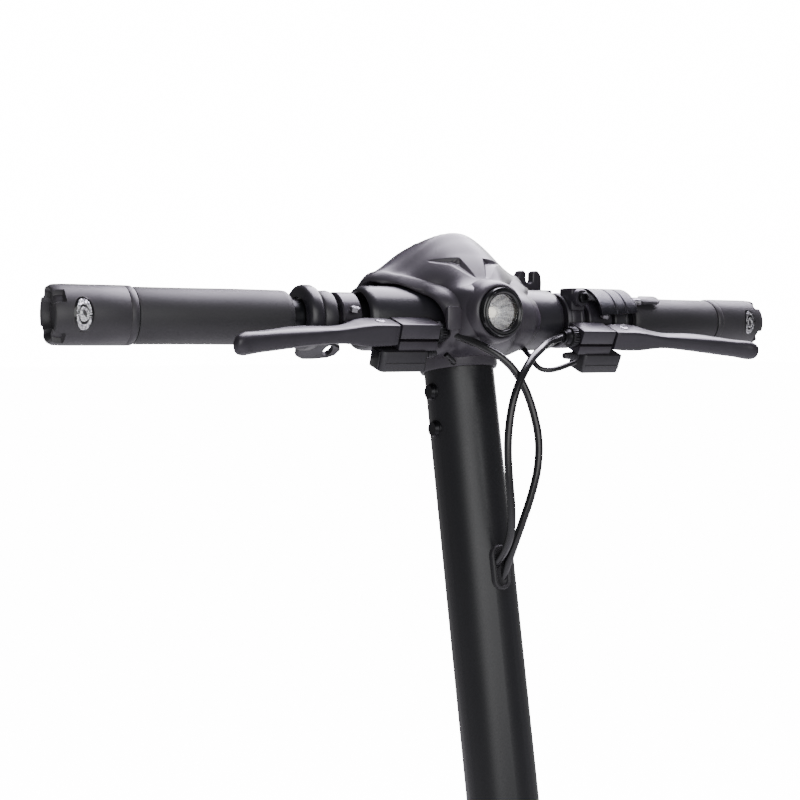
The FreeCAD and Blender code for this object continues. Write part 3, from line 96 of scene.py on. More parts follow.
def area_light(name, place, target, size, power, colour="#FFFFFF"):
    lamp = bpy.data.lights.new(name, "AREA")
    lamp.shape = "RECTANGLE"
    lamp.size, lamp.size_y = size
    lamp.energy = power
    lamp.color = linear(colour)[:3]
    holder = bpy.data.objects.new(name, lamp)
    bpy.context.scene.collection.objects.link(holder)
    holder.location = place
    holder.rotation_euler = (target - Vector(place)).to_track_quat("-Z", "Y").to_euler()


camera = bpy.data.cameras.new("camera")
camera.lens = 57.52
camera.sensor_width = 36
eye = bpy.data.objects.new("camera", camera)
bpy.context.scene.collection.objects.link(eye)
eye.location = at_bar(-472.1, -691.3, -15.7)
turn, dip = math.radians(31.8), math.radians(2.53)
aim = Vector((math.sin(turn) * math.cos(dip), math.cos(turn) * math.cos(dip), -math.sin(dip)))
eye.rotation_euler = aim.to_track_quat("-Z", "Y").to_euler()
bpy.context.scene.camera = eye

area_light("top_softbox", at_bar(540, 300, 980), BAR, (1.0, 1.2), 66, "#F1EAFA")
area_light("front_fill", at_bar(-300, -1500, 260), BAR, (1.4, 1.0), 13)
area_light("front_panel", at_bar(-1500, -1700, 250), at_bar(0, 0, -350), (0.9, 1.8), 12)
area_light("rear_panel", at_bar(1500, 1300, 500), at_bar(0, 0, -350), (1.0, 1.6), 16)

world = bpy.data.worlds.new("studio")
world.use_nodes = True
sky = world.node_tree
sky.nodes.clear()
glow = add(sky, "ShaderNodeBackground", Color=linear("#F6F5FA"), Strength=0.16)
backdrop = add(sky, "ShaderNodeBackground", Color=linear("#FFFFFF"), Strength=16.0)
ray = add(sky, "ShaderNodeLightPath")
seen = add(sky, "ShaderNodeMixShader", {"Fac": ray.outputs["Is Camera Ray"]})
sky.links.new(glow.outputs[0], seen.inputs[1])
sky.links.new(backdrop.outputs[0], seen.inputs[2])
add(sky, "ShaderNodeOutputWorld", {"Surface": seen.outputs[0]})
bpy.context.scene.world = world


def new_material(name):
    """An empty material and its shader, with the shader joined to the output."""
    made = bpy.data.materials.new(name)
    made.use_nodes = True
    made.node_tree.nodes.clear()
    shader = add(made.node_tree, "ShaderNodeBsdfPrincipled")
    add(made.node_tree, "ShaderNodeOutputMaterial", {"Surface": shader.outputs[0]})
    return made, shader


def painted_floor():
    """Matt white paint on a seamless floor, lit through from below so that it stays pale."""
    made, shader = new_material("painted_floor")
    tree = made.node_tree
    place = add(tree, "ShaderNodeTexCoord")
    mottle = add(tree, "ShaderNodeTexNoise", {"Vector": place.outputs["Object"]}, Scale=1 / 0.04, Detail=2.0)
    tint = add(tree, "ShaderNodeMixRGB", {"Fac": mottle.outputs[0]}, Color1=linear("#F4F4F5"),
               Color2=linear("#FBFBFC"))
    tree.links.new(tint.outputs[0], shader.inputs["Base Color"])
    shader.inputs["Roughness"].default_value = 0.75
    shader.inputs["Emission Color"].default_value = linear("#FFFFFF")
    ray = add(tree, "ShaderNodeLightPath")
    glow = add(tree, "ShaderNodeMapRange", {"Value": ray.outputs["Is Camera Ray"]})
    glow.inputs["To Min"].default_value = 0.25
    glow.inputs["To Max"].default_value = 15.0
    tree.links.new(glow.outputs[0], shader.inputs["Emission Strength"])
    return made


def piece_from(name, points, faces, smooth=True):
    """A mesh object from points and faces, with its normals turned outwards."""
    mesh = bpy.data.meshes.new(name)
    mesh.from_pydata([tuple(p) for p in points], [], faces)
    work = bmesh.new()
    work.from_mesh(mesh)
    bmesh.ops.remove_doubles(work, verts=work.verts, dist=1e-6)
    bmesh.ops.recalc_face_normals(work, faces=work.faces)
    work.to_mesh(mesh)
    work.free()
    for face in mesh.polygons:
        face.use_smooth = smooth
    made = bpy.data.objects.new(name, mesh)
    bpy.context.scene.collection.objects.link(made)
    return made


reach = 60.0
floor = piece_from("floor", [(-reach, -reach, 0), (reach, -reach, 0), (reach, reach, 0), (-reach, reach, 0)],
                   [(0, 1, 2, 3)], smooth=False)
floor.location.z = cad_box[0][2] - 0.0005
floor.data.materials.append(painted_floor())


# ---- Head shell and hood
# One smooth cover moulded in glass-filled nylon. It wraps the bar clamp, rises to a peak ahead
# of the display and carries a nose for the headlight; screws from behind hold its halves.
def fit(piece, body, slot, material, *nodes):
    """Gives a piece its material, the body it rides on and the nodes it stands for; its slot is not used."""
    piece.data.materials.clear()
    piece.data.materials.append(material)
    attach(piece, body)
    for each in nodes:
        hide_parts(each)
    return piece


def through(keys, count):
    """Values along a smooth curve through keys, each a tuple; the first entry is kept in order."""
    made = []
    for i in range(count):
        place = i / (count - 1) * (len(keys) - 1)
        k = min(int(place), len(keys) - 2)
        f = place - k
        before, start, end, after = keys[max(k - 1, 0)], keys[k], keys[k + 1], keys[min(k + 2, len(keys) - 1)]
        made.append(tuple(0.5 * (2 * b + (c - a) * f + (2 * a - 5 * b + 4 * c - d) * f * f
                                 + (3 * b - a - 3 * c + d) * f ** 3)
                          for a, b, c, d in zip(before, start, end, after)))
    return made


def value_at(keys, at):
    """The value at an angle on a smooth closed curve through (angle, value) keys from 0 to 360."""
    count = len(keys) - 1
    k = next(i for i in range(count) if at <= keys[i + 1][0])
    (a, low), (b, high) = keys[k], keys[k + 1]
    before_at, before = keys[k - 1] if k else (keys[-2][0] - 360, keys[-2][1])
    after_at, after = keys[k + 2] if k + 2 <= count else (keys[1][0] + 360, keys[1][1])
    start = (high - before) / (b - before_at) * (b - a)
    end = (after - low) / (after_at - a) * (b - a)
    f = (at - a) / (b - a)
    return (low * (2 * f ** 3 - 3 * f * f + 1) + start * (f ** 3 - 2 * f * f + f)
            + high * (3 * f * f - 2 * f ** 3) + end * (f ** 3 - f * f))


def skinned(name, rows, round_rows=True, capped=True, joined=False):
    """A surface over rows of points. Rows may be rings, ends may be capped or joined."""
    across = len(rows[0])
    points = [p for row in rows for p in row]
    faces = []
    for i in range(len(rows) - (0 if joined else 1)):
        following = (i + 1) % len(rows)
        for j in range(across - (0 if round_rows else 1)):
            k = (j + 1) % across
            faces.append((i * across + j, i * across + k, following * across + k, following * across + j))
    if capped and not joined:
        faces.append(tuple(range(across)))
        faces.append(tuple((len(rows) - 1) * across + j for j in range(across)))
    return piece_from(name, points, faces)


def soften(made, angle=35):
    """Keeps edges sharper than an angle crisp and shades the rest smooth."""
    work = bmesh.new()
    work.from_mesh(made.data)
    for edge in work.edges:
        edge.smooth = len(edge.link_faces) == 2 and edge.calc_face_angle(0) < math.radians(angle)
    work.to_mesh(made.data)
    work.free()
    return made


def textured(name, light, dark, roughness, grain, depth, metallic=0.0, cloud=14.0, sheen=0.0, spread=0.06):
    """A finish of two close colours with a fine grain. Grain, depth and cloud are in millimetres."""
    made, shader = new_material(name)
    tree = made.node_tree
    place = add(tree, "ShaderNodeTexCoord")
    clouds = add(tree, "ShaderNodeTexNoise", {"Vector": place.outputs["Object"]}, Scale=1 / (cloud * MM),
                 Detail=3.0)
    tint = add(tree, "ShaderNodeMixRGB", {"Fac": clouds.outputs[0]}, Color1=linear(dark),
               Color2=linear(light))
    gloss = add(tree, "ShaderNodeMapRange", {"Value": clouds.outputs[0]})
    gloss.inputs["To Min"].default_value = roughness - spread
    gloss.inputs["To Max"].default_value = roughness + spread
    pores = add(tree, "ShaderNodeTexNoise", {"Vector": place.outputs["Object"]}, Scale=1 / (grain * MM),
                Detail=2.0)
    relief = add(tree, "ShaderNodeBump", {"Height": pores.outputs[0]}, Strength=1.0, Distance=depth * MM)
    tree.links.new(tint.outputs[0], shader.inputs["Base Color"])
    tree.links.new(gloss.outputs[0], shader.inputs["Roughness"])
    tree.links.new(relief.outputs[0], shader.inputs["Normal"])
    shader.inputs["Metallic"].default_value = metallic
    if sheen:
        shader.inputs["Sheen Weight"].default_value = sheen
        shader.inputs["Sheen Roughness"].default_value = 0.4
    return made


def prism(name, outline, low, high, place, edge=0.8, steps=2):
    """A plate of an outline between two heights, its sharp edges rounded."""
    count = len(outline)
    points = [place(a, b, low) for a, b in outline] + [place(a, b, high) for a, b in outline]
    faces = [tuple(range(count)), tuple(range(count, 2 * count))]
    faces += [(i, (i + 1) % count, count + (i + 1) % count, count + i) for i in range(count)]
    made = piece_from(name, points, faces)
    if edge:
        work = bmesh.new()
        work.from_mesh(made.data)
        sharp = [e for e in work.edges if e.calc_face_angle(0) > math.radians(25)]
        bmesh.ops.bevel(work, geom=sharp, offset=edge * MM, segments=steps, profile=0.5, affect="EDGES",
                        clamp_overlap=True)
        work.to_mesh(made.data)
        work.free()
        for face in made.data.polygons:
            face.use_smooth = True
    return soften(made, 32)


def joined(name, *parts):
    """Several meshes as one piece, keeping each one's own shape."""
    bpy.ops.object.select_all(action="DESELECT")
    for part in parts:
        part.select_set(True)
    bpy.context.view_layer.objects.active = parts[0]
    bpy.ops.object.join()
    parts[0].name = name
    return parts[0]


# spark-eroded nylon: a fine even grain, drawn at 0.45 mm, that spreads highlights to a soft lilac grey
charcoal_nylon = textured("charcoal_nylon", "#38353B", "#2F2C32", 0.36, 0.45, 0.02, cloud=30)

# centre line of the shell: angle from straight ahead over the top, and distance from the bar's axis
centre_line = [(0, 46), (20, 47.5), (35, 38.8), (50, 38.4), (70, 43.5), (84, 51), (95, 58), (112, 60),
               (135, 56), (150, 50), (180, 37), (215, 33), (245, 30), (270, 27), (295, 30), (320, 36),
               (340, 43), (360, 46)]
# rim of the shell: angle, distance out along the bar, distance from its axis
rim_out = [(0, 22), (20, 22), (42, 25), (57, 32), (76, 41), (90, 46), (113, 55), (140, 58), (180, 56),
           (215, 46), (250, 36), (290, 27), (325, 23), (360, 22)]
rim_far = [(0, 36.5), (20, 35), (42, 29.7), (57, 27.5), (90, 28.2), (113, 33), (140, 33), (180, 30),
           (215, 27), (250, 25.5), (290, 26.5), (325, 33), (360, 36.5)]
# the rolled band at the rim, and the flat that the display lies on: its distance and its lean
band_wide = 7
band_drop = 6.5
display_far = 45.15
display_lean = 40
# the nose is open behind the lamp, whose axis is a little above the bar's
lamp_above = 3.8
pocket_radius = 13
pocket_far = 33.0


def shell_radius(angle, share):
    """Distance of the shell's skin from the bar's axis at an angle and a share of the way to its rim."""
    middle = value_at(centre_line, angle)
    edge = value_at(rim_far, angle)
    boxy = max(0.0, math.cos(math.radians(angle))) ** 1.5
    power = 1.9 + 2.6 * boxy
    far = edge + (middle - edge) * max(0.0, 1 - share ** power) ** (1.35 - 0.5 * boxy)
    slope = math.sin(math.radians(angle - display_lean))
    if slope > 0.3:
        flat = display_far / slope
        blend = 1.6
        gap = max(0.0, blend - abs(far - flat)) / blend
        far = min(far, flat) - gap * gap * blend * 0.25
    return far


def chevron_depth(x, angle, far):
    """Depth of the arrow-shaped recess beside the peak: a crisp upper edge, a steep wall, a rising floor."""
    spots = [(27.5, 51.5), (9.0, 50.0), (3.6, 28.5)]
    here = (abs(x), far * math.radians(angle))
    if here[1] > 52 or here[0] > 30:
        return 0.0
    depth = 0.0
    for k, ((ax, ay), (bx, by)) in enumerate(zip(spots, spots[1:])):
        long = math.hypot(bx - ax, by - ay)
        ux, uy = (bx - ax) / long, (by - ay) / long
        share = ((here[0] - ax) * ux + (here[1] - ay) * uy) / long
        inward = -(here[0] - ax) * uy + (here[1] - ay) * ux
        if 0 <= share <= 1.0 and inward > 0:
            swell = (share if k == 0 else 1 - share) ** 0.7
            wall = 0.5 + 3.2 * swell
            floor_run = 1.5 + 7 * swell
            fall = inward / wall if inward < wall else max(0.0, 1 - (inward - wall) / floor_run)
            depth = max(depth, 2.8 * swell * fall)
    return depth


def band_growth(angle, x):
    """How much wider than usual the rim's band is in front, by the bell's side and by the throttle's."""
    if x > 0:
        return 2.4 * max(0.0, math.cos(math.radians(angle))) ** 0.8
    return 0.8 * max(0.0, math.cos(math.radians(2.2 * (angle - 40)))) if angle < 81 else 0.0


rows = []
across = 96
# steps of the angle, in degrees: fine across the chevrons and coarse elsewhere
angles = ([1.6 * i for i in range(15)] + [24 + 0.3 * i for i in range(180)]
          + [78 + 1.6 * i for i in range(177)])
for angle in angles:
    radians = math.radians(angle)
    out = value_at(rim_out, angle)
    row = []
    for j in range(-across, across + 1):
        share = abs(j) / across
        x = out * share * (1 if j > 0 else -1)
        far = shell_radius(angle, share)
        if 25 < angle < 85:
            far -= chevron_depth(x, angle, far)
        if math.cos(radians) > 0 and math.hypot(x, far * math.sin(radians) - lamp_above) < pocket_radius:
            far = min(far, pocket_far)
        row.append((x, far))
    rim = value_at(rim_far, angle)
    for k, (step, drop) in enumerate([(band_wide * 0.3, 0.6), (band_wide * 0.75, band_drop * 0.6),
                                      (band_wide, band_drop), (band_wide - 0.6, band_drop + 0.9),
                                      (band_wide - 3, band_drop + 1.0), (band_wide - 9, band_drop + 0.6)]):
        far = max(rim - drop, 22.4 - 0.1 * k)
        row.append((out + step * (1 + band_growth(angle, 1)), far))
        row.insert(0, (-out - step * (1 + band_growth(angle, -1)), far))
    rows.append([at_bar(x, -far * math.cos(radians), far * math.sin(radians)) for x, far in row])
shell = skinned("head_cover", rows, round_rows=False, capped=False, joined=True)
fit(shell, "stem", "charcoal_plastic", charcoal_nylon, "head_shell", "display_hood")
tab = [(-31, -6.4), (-31, 6.2), (-29.8, 7.4), (-22.6, 7.2), (-21.4, 6), (-21.4, -7.2), (-29.8, -7.4)]
tab = prism("cover_tab", tab, -37.2, -34.4, lambda a, b, c: at_bar(a, c - 0.12 * (a + 21.4), b), 0.5)
fit(tab, "stem", "charcoal_plastic", charcoal_nylon)


# ---- Neck collar
# A short moulded skirt of the head cover that closes it around the top of the stem.
def turned(name, profile, origin, axis, steps=72, wave=None):
    """A turned piece: profile holds (along, radius) in millimetres; wave changes a radius with its angle."""
    axis = axis.normalized()
    side = axis.orthogonal().normalized() if abs(axis.x) > 0.5 else X.cross(axis).normalized()
    other = axis.cross(side)
    rows = []
    for i in range(steps):
        angle = 2 * math.pi * i / steps
        ray = side * math.cos(angle) + other * math.sin(angle)
        rows.append([origin + (axis * along + ray * (wave(along, radius, angle) if wave else radius)) * MM
                     for along, radius in profile])
    made = skinned(name, rows, round_rows=True, capped=False, joined=True)
    return soften(made, 40)


stem_up = Vector(JOINTS["steering_turn"]["axis"]).normalized()
pivot = Vector(JOINTS["steering_turn"]["pos_m"])
STEM_TOP = pivot + stem_up * ((BAR.z - pivot.z) / stem_up.z)
collar = [(-34, 22.95), (-34, 24.6), (-32.5, 25.4), (-24, 26.2), (-12, 29.5), (-12, 26), (-24, 23),
          (-30, 22.95)]
collar = turned("neck_collar", collar, STEM_TOP, stem_up)
fit(collar, "stem", "charcoal_plastic", charcoal_nylon)


# ---- Headlight
# A gloss black ring pressed into the nose, an aluminised reflector with facets round one diode,
# and a clear polycarbonate lens snapped in front of it.
def clear_polycarbonate():
    """Injection-moulded clear window: IOR 1.58, almost no colour, very slight flow marks."""
    made, shader = new_material("clear_polycarbonate")
    tree = made.node_tree
    place = add(tree, "ShaderNodeTexCoord")
    flow = add(tree, "ShaderNodeTexNoise", {"Vector": place.outputs["Object"]}, Scale=1 / (4 * MM),
               Detail=1.0)
    relief = add(tree, "ShaderNodeBump", {"Height": flow.outputs[0]}, Strength=0.4, Distance=0.02 * MM)
    tree.links.new(relief.outputs[0], shader.inputs["Normal"])
    shader.inputs["Base Color"].default_value = linear("#F6F8FA")
    shader.inputs["Roughness"].default_value = 0.04
    shader.inputs["IOR"].default_value = 1.58
    shader.inputs["Transmission Weight"].default_value = 0.92
    shader.inputs["Alpha"].default_value = 0.3
    return made


def aluminised_reflector():
    """Vacuum-coated plastic: a bright mirror of small uneven facets, each painted pale at its middle and
    darker towards its edge as painted highlight and shade.
    """
    made, shader = new_material("aluminised_reflector")
    tree = made.node_tree
    place = add(tree, "ShaderNodeTexCoord")
    facet_relief_and_shade = add(tree, "ShaderNodeTexVoronoi", {"Vector": place.outputs["Object"]}, Scale=1 / (1.1 * MM))
    # Pale in each facet's middle, dark grey at its edge: painted highlight and painted shade between facets.
    tint = add(tree, "ShaderNodeMixRGB", {"Fac": facet_relief_and_shade.outputs["Distance"]}, Color1=linear("#FBFBFC"),
               Color2=linear("#6F6F78"))
    relief = add(tree, "ShaderNodeBump", {"Height": facet_relief_and_shade.outputs["Distance"]}, Strength=1.0,
                 Distance=0.5 * MM)
    tree.links.new(tint.outputs[0], shader.inputs["Base Color"])
    tree.links.new(relief.outputs[0], shader.inputs["Normal"])
    shader.inputs["Metallic"].default_value = 1.0
    shader.inputs["Roughness"].default_value = 0.3
    return made


gloss_abs = textured("gloss_abs", "#19191B", "#131315", 0.14, 0.9, 0.003, spread=0.03)
polycarbonate = clear_polycarbonate()
mirror = aluminised_reflector()
BACK = Vector((0, 1, 0))
lamp_low, lamp_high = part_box("headlight_bezel")
lamp_face = Vector((BAR.x, lamp_low.y, (lamp_low.z + lamp_high.z) / 2))
boss = turned("lamp_boss", [(4.4, 15.7), (4.0, 16.6), (4.4, 17.6), (6.4, 18.9), (12, 20.2), (20, 21),
                            (20, 15.7)], lamp_face, BACK)
fit(boss, "stem", "charcoal_plastic", charcoal_nylon)
bezel = [(1.6, 11.0), (0.5, 11.6), (0, 12.6), (0.3, 13.6), (0.9, 13.9), (0.6, 14.3), (0.9, 15.0), (2.2, 15.4),
         (13, 15.4), (13, 13), (5, 13), (5, 11.2), (3.6, 11.2), (2.8, 11.6), (2.4, 11.1)]
fit(turned("lamp_ring", bezel, lamp_face, BACK), "stem", "gloss_black_plastic", gloss_abs, "headlight_bezel")


def scallop(along, radius, angle):
    """Ten flutes round the reflector's bowl, deepest half way out."""
    return radius + 0.7 * math.cos(10 * angle) * math.sin(math.pi * min(1.0, radius / 11.4))


bowl = [(5.6, 11.2), (7.5, 10.6), (10, 9.2), (12.6, 7.0), (14.6, 4.4), (15, 3.4), (16.4, 3.4), (16, 5),
        (14, 8), (11, 10.6), (7.6, 12.2), (5.6, 12.4)]
fit(turned("lamp_reflector", bowl, lamp_face, BACK, 120, scallop), "stem", "mirror_reflector", mirror,
    "headlight_reflector")
diode = turned("lamp_diode", [(11.2, 0.001), (11.4, 1.4), (12.2, 2.5), (13.4, 3.1), (15.6, 3.2),
                              (15.6, 0.001)], lamp_face, BACK, 40)
warm_phosphor = textured("warm_phosphor", "#F4F1E2", "#E6E1CB", 0.35, 0.3, 0.01, spread=0.04)
glowing = next(node for node in warm_phosphor.node_tree.nodes if node.type == "BSDF_PRINCIPLED")
glowing.inputs["Emission Color"].default_value = linear("#FFF8EA")
glowing.inputs["Emission Strength"].default_value = 1.4
fit(diode, "stem", "mirror_reflector", warm_phosphor)
window = [(3.4, 0.001), (3.7, 5), (4.5, 10.7), (5.2, 12.2), (6.3, 12.2), (6.3, 0.001)]
fit(turned("lamp_window", window, lamp_face, BACK), "stem", "clear_lens", polycarbonate, "headlight_lens")


# ---- Bar covers
# Two short tubes moulded with the cover's inner frame. They hide the bar clamp's bolts and end
# in a rolled lip that leaves a dark gap round the bar.
satin_nylon = textured("satin_nylon", "#26252A", "#1F1E22", 0.32, 0.5, 0.015, cloud=24)
for side, hand in ((-1, "right"), (1, "left")):
    wall = [(21.5, 17.5), (21.5, 20.5), (45, 20.5), (70.5, 20.3), (73.4, 19.6), (75, 18.2), (75.3, 16.9),
            (74.4, 16.0), (72.6, 15.6), (66, 15.4), (30, 15.4)]
    cover = turned(f"bar_cover_{hand}", wall, BAR, X * side)
    fit(cover, "stem", "charcoal_plastic", satin_nylon, "shell_sleeves")


# ---- Grips and end caps
# Grips are extruded rubber tubes slid over the bar. Caps are moulded elastomer plugs with a
# toothed crown and a window for the turn light on each end.
def rubber_compound():
    """Matt grip rubber: dusty grey where light grazes it, with a fine pebble drawn at 0.6 mm."""
    return textured("grip_compound", "#242326", "#1C1B1E", 0.55, 0.6, 0.02, cloud=40, sheen=0.12)


grip_compound = rubber_compound()
cap_elastomer = textured("cap_elastomer", "#2B292D", "#232225", 0.48, 0.5, 0.02, cloud=26, sheen=0.12)
bar_anodised = textured("bar_anodised", "#232326", "#1B1B1E", 0.30, 0.25, 0.004, metallic=0.6, cloud=20)


def crown(along, radius, angle):
    """The cap's wall, cut by four notches in its crown."""
    if along > 262.5 and radius > 12:
        notch = math.cos(4 * angle + 0.5)
        if notch > 0.55:
            return radius - 2.6 * min(1.0, (notch - 0.55) / 0.15)
    return radius


for side, hand in ((-1, "right"), (1, "left")):
    begin = 125.5 if side < 0 else 142.5
    sleeve = [(begin, 11.4), (begin, 15.0), (begin + 1.2, 16.0), (begin + 4, 16.3), (160, 16.5), (190, 16.3),
              (219.5, 16.3), (221.2, 15.9), (221.3, 11.4)]
    fit(turned(f"grip_{hand}", sleeve, BAR, X * side, 96), "stem", "grip_rubber", grip_compound, "grips")
    plug = [(221.9, 13), (221.9, 16.2), (222.8, 16.9), (226, 17), (226.4, 16.75), (227, 17), (244, 17.0),
            (257, 17.0), (262.4, 16.95), (263.0, 16.9), (266.4, 16.7), (268.2, 15.8), (268.6, 14.4),
            (267.4, 13.2), (263.4, 12.4), (262.8, 0.001), (259, 0.001), (258, 12), (230, 13)]
    cap = turned(f"end_cap_{hand}", plug, BAR, X * side, 144, crown)
    fit(cap, "stem", "grip_rubber", cap_elastomer, "end_caps")
    rim, glass = [], []
    for name, store, grow, lift in (("rim", rim, 1.5, 0.25), ("glass", glass, 0.0, 0.55)):
        for ring, (scale, rise) in enumerate([(1.0, -1.6), (1.0, lift - 0.3), (0.9, lift),
                                              (0.45, lift + 0.12)]):
            row = []
            for k in range(40):
                angle = 2 * math.pi * k / 40
                dx = (4.2 + grow) * math.copysign(abs(math.cos(angle)) ** 0.8, math.cos(angle)) * scale
                dz = (8.4 + grow) * math.sin(angle) * scale
                bend = math.asin(max(-0.99, min(0.99, dz / 17)))
                far = min(17.0 + rise, 17.15)
                row.append(at_bar(side * (253.5 + dx), -far * math.cos(bend), far * math.sin(bend)))
            store.append(row)
    lens = soften(skinned(f"turn_lens_{hand}", glass), 50)
    fit(lens, "stem", "clear_lens", mirror, "indicator_lenses")
    fit(soften(skinned(f"turn_lens_rim_{hand}", rim), 50), "stem", "gloss_black_plastic", gloss_abs)


# ---- Brake levers and brackets
# Long levers and brackets are gravity-cast aluminium, tumbled and painted satin black. A lever
# turns on a pin through its bracket; the cable's barrel adjuster is screwed in at the inner end.
cast_paint = textured("cast_paint", "#322F36", "#28262B", 0.36, 0.7, 0.012, metallic=0.2, cloud=12)
zinc_plate = textured("zinc_plate", "#B9B7BC", "#96949A", 0.28, 0.2, 0.004, metallic=1.0, cloud=5)
steel_black = textured("black_oxide_steel", "#1F1F22", "#18181A", 0.32, 0.3, 0.005, metallic=0.7, cloud=6)


def bracket_frame(hand):
    """Places in a bracket: out along the bar from the lever's pin, ahead of it and above it."""
    side = 1 if hand == "left" else -1
    joint = JOINTS[f"brake_pull_{hand}"]
    up = Vector(joint["axis"]) * side
    ahead = X.cross(up)
    pin = Vector(joint["pos_m"])
    return lambda out, fore, lift: pin + (X * side * out + ahead * fore + up * lift) * MM


# stations of a lever: distance out from its pin, front face, back face, height, boxiness
lever_stations = [(-10.5, 7.5, -7.3, 13.0, 9), (-6, 8.6, -7.8, 13.6, 9), (5, 9.2, -8.2, 14, 9),
                  (14, 9.8, -7, 13, 8), (22, 10.2, -2.6, 11, 6), (32, 11, 0.4, 9.2, 4.5),
                  (42, 12.8, 1.4, 9.6, 3.6), (54, 15.8, 1.8, 10.6, 3.2), (66, 18.8, 5.0, 11.4, 3.0),
                  (78, 22.0, 10.6, 11.8, 2.8), (88, 24.8, 14.6, 12.0, 2.6), (95, 27.0, 17.2, 12.8, 2.4),
                  (100, 29.0, 18.8, 13.0, 2.2), (104, 29.4, 21.4, 10.4, 2.1), (105.8, 27.8, 24.0, 5.0, 2.0)]


def brake_lever(hand):
    place = bracket_frame(hand)
    rows = []
    for out, front, back, tall, boxy in through(lever_stations, 90):
        row = []
        for k in range(40):
            angle = 2 * math.pi * (k + 0.5) / 40
            c, s = math.cos(angle), math.sin(angle)
            fore = math.copysign(abs(c) ** (2 / boxy), c) * (front - back) / 2
            lift = math.copysign(abs(s) ** (2 / boxy), s) * tall / 2
            row.append(place(out, (front + back) / 2 + fore, lift))
        rows.append(row)
    return soften(skinned(f"lever_{hand}", rows), 38)


def knurl(along, radius, angle):
    """Straight knurling with 24 ridges on the widest band of the adjuster."""
    return radius - (0.45 * (0.5 + 0.5 * math.cos(24 * angle)) if radius > 6.4 else 0)


def adjuster(hand):
    side = 1 if hand == "left" else -1
    place = bracket_frame(hand)
    shape = [(-1, 0.001), (-1, 4.2), (0.2, 4.2), (0.4, 5.6), (1.0, 6.6), (1.5, 7.0), (5.6, 7.0), (6.2, 6.5),
             (6.5, 5.2), (7.2, 4.9), (9.0, 4.6), (9.4, 4.1), (10.8, 4.0), (11.1, 3.6), (11.1, 0.001)]
    return turned(f"adjuster_{hand}", shape, place(-40, 0, 0), X * -side, 120, knurl)


for side, hand in ((-1, "right"), (1, "left")):
    place = bracket_frame(hand)
    fit(brake_lever(hand), f"lever_{hand}", "satin_black_alloy", cast_paint, f"brake_lever_{hand}")
    body = prism(f"bracket_block_{hand}",
                 [(-10, -7.5), (-10, 6.6), (-4.0, 7.0), (-4.0, 1.5), (-2.4, 1.5), (-2.4, 7.0), (6.4, 7.4),
                  (7.0, 6.6), (7.0, -8.5), (5.6, -9.5), (-6, -9.5)],
                 -40, -12.2, lambda a, b, c: place(c, b, a), 0.5)
    tongue = prism(f"bracket_tongue_{hand}", [(-13, -7), (-13, 5), (6, 5), (8, 0), (6, -7)], -3, 3, place,
                   0.5)
    at = {"right": (4, 17), "left": (-17, 3)}[hand]
    ring_r = {"right": 16, "left": 14.5}[hand]
    bar_beside_pin = Vector((place(0, 0, 0).x, BAR.y, BAR.z))
    band = turned(f"bracket_clamp_{hand}", [(at[0], 11.3), (at[0], ring_r - 0.8), (at[0] + 0.8, ring_r),
                                            (at[1] - 0.8, ring_r), (at[1], ring_r - 0.8), (at[1], 11.3)],
                  bar_beside_pin, X * side, 64)
    neck_low, neck_high = at
    neck = prism(f"bracket_neck_{hand}", [(neck_low, -15), (neck_low, -3), (neck_high, -3),
                                          (neck_high, -15)], -3, 3, place, 0.6)
    arm = prism(f"bracket_arm_{hand}", [(-14, -7.4), (-14, -2.6), (neck_high, -2.6), (neck_high, -7.4)], -3,
                3, place, 0.6)
    bolt = turned(f"bracket_bolt_{hand}", [(0, 0.001), (0, 3.2), (2.2, 3.2), (2.8, 2.6), (2.8, 1.5),
                                           (1.0, 1.4), (1.0, 0.001)], place((at[0] + at[1]) / 2, -13.5,
                                                                            8.8),
                  (place(0, 0, 1) - place(0, 0, 0)), 6)
    body = joined(f"bracket_{hand}", body, tongue, band, neck, arm)
    fit(body, "stem", "satin_black_alloy", cast_paint, f"brake_bracket_{hand}")
    fit(bolt, "stem", "bright_steel", zinc_plate)
    pin_head = turned(f"lever_pin_{hand}", [(6.4, 0.001), (6.4, 3.2), (7.2, 3.2), (7.5, 2.8), (7.5, 1.4),
                                            (6.9, 1.2), (6.9, 0.001)], place(0, 0, 0),
                      place(0, 0, 1) - place(0, 0, 0), 32)
    fit(pin_head, "stem", "bright_steel", zinc_plate)
    fit(adjuster(hand), "stem", "satin_black_alloy", steel_black)


# ---- Brake switches
# Small snap-fit ABS boxes under the brackets. They cut the motor when a lever moves, and the
# wire leaves each through a ribbed relief.
matt_abs = textured("matt_abs", "#2B2A2E", "#232226", 0.42, 0.5, 0.02, cloud=18)


def ribs(along, radius, angle):
    """Five rings of a moulded strain relief."""
    return radius - (0.7 if int(along / 1.1) % 2 and radius > 2.4 else 0)


for side, hand in ((-1, "right"), (1, "left")):
    place = bracket_frame(hand)
    box = prism(f"switch_box_{hand}", [(-34, -7), (-34, 6.4), (-32.5, 8), (-3, 8), (-1, 6), (-1, -7)],
                -23.4, -10.2, place, 0.9)
    # The open pocket in each box's face is not cut in. A thin dark gloss plate stands on the face instead, as
    # painted shade of the recess.
    pocket_shade_plate = prism(f"switch_pocket_{hand}", [(-22.2, -4.5), (-22.2, 5.4), (-11.4, 5.4), (-11.4, -4.5)],
                   -1.2, 0.25, lambda a, b, c: place(c, b, a + 0.4), 0.3)
    lip = prism(f"switch_lip_{hand}", [(-18.4, 7.2), (-18.4, 8.4), (-17.4, 8.4), (-17.4, 7.2)], -32, -4,
                lambda a, b, c: place(c, b, a), 0.25)
    box = joined(f"switch_{hand}", box, lip)
    fit(box, "stem", "charcoal_plastic", matt_abs, "brake_switches")
    fit(pocket_shade_plate, "stem", "gloss_black_plastic", gloss_abs)
    relief_shape = ([(0, 0.001)] + [(0.05 + 0.55 * k, 3.4 - 0.07 * k) for k in range(20)]
                    + [(10.9, 1.8), (10.9, 0.001)])
    relief = turned(f"switch_relief_{hand}", relief_shape, place(-34, -1, -14), X * -side, 40, ribs)
    fit(relief, "stem", "charcoal_plastic", matt_abs)


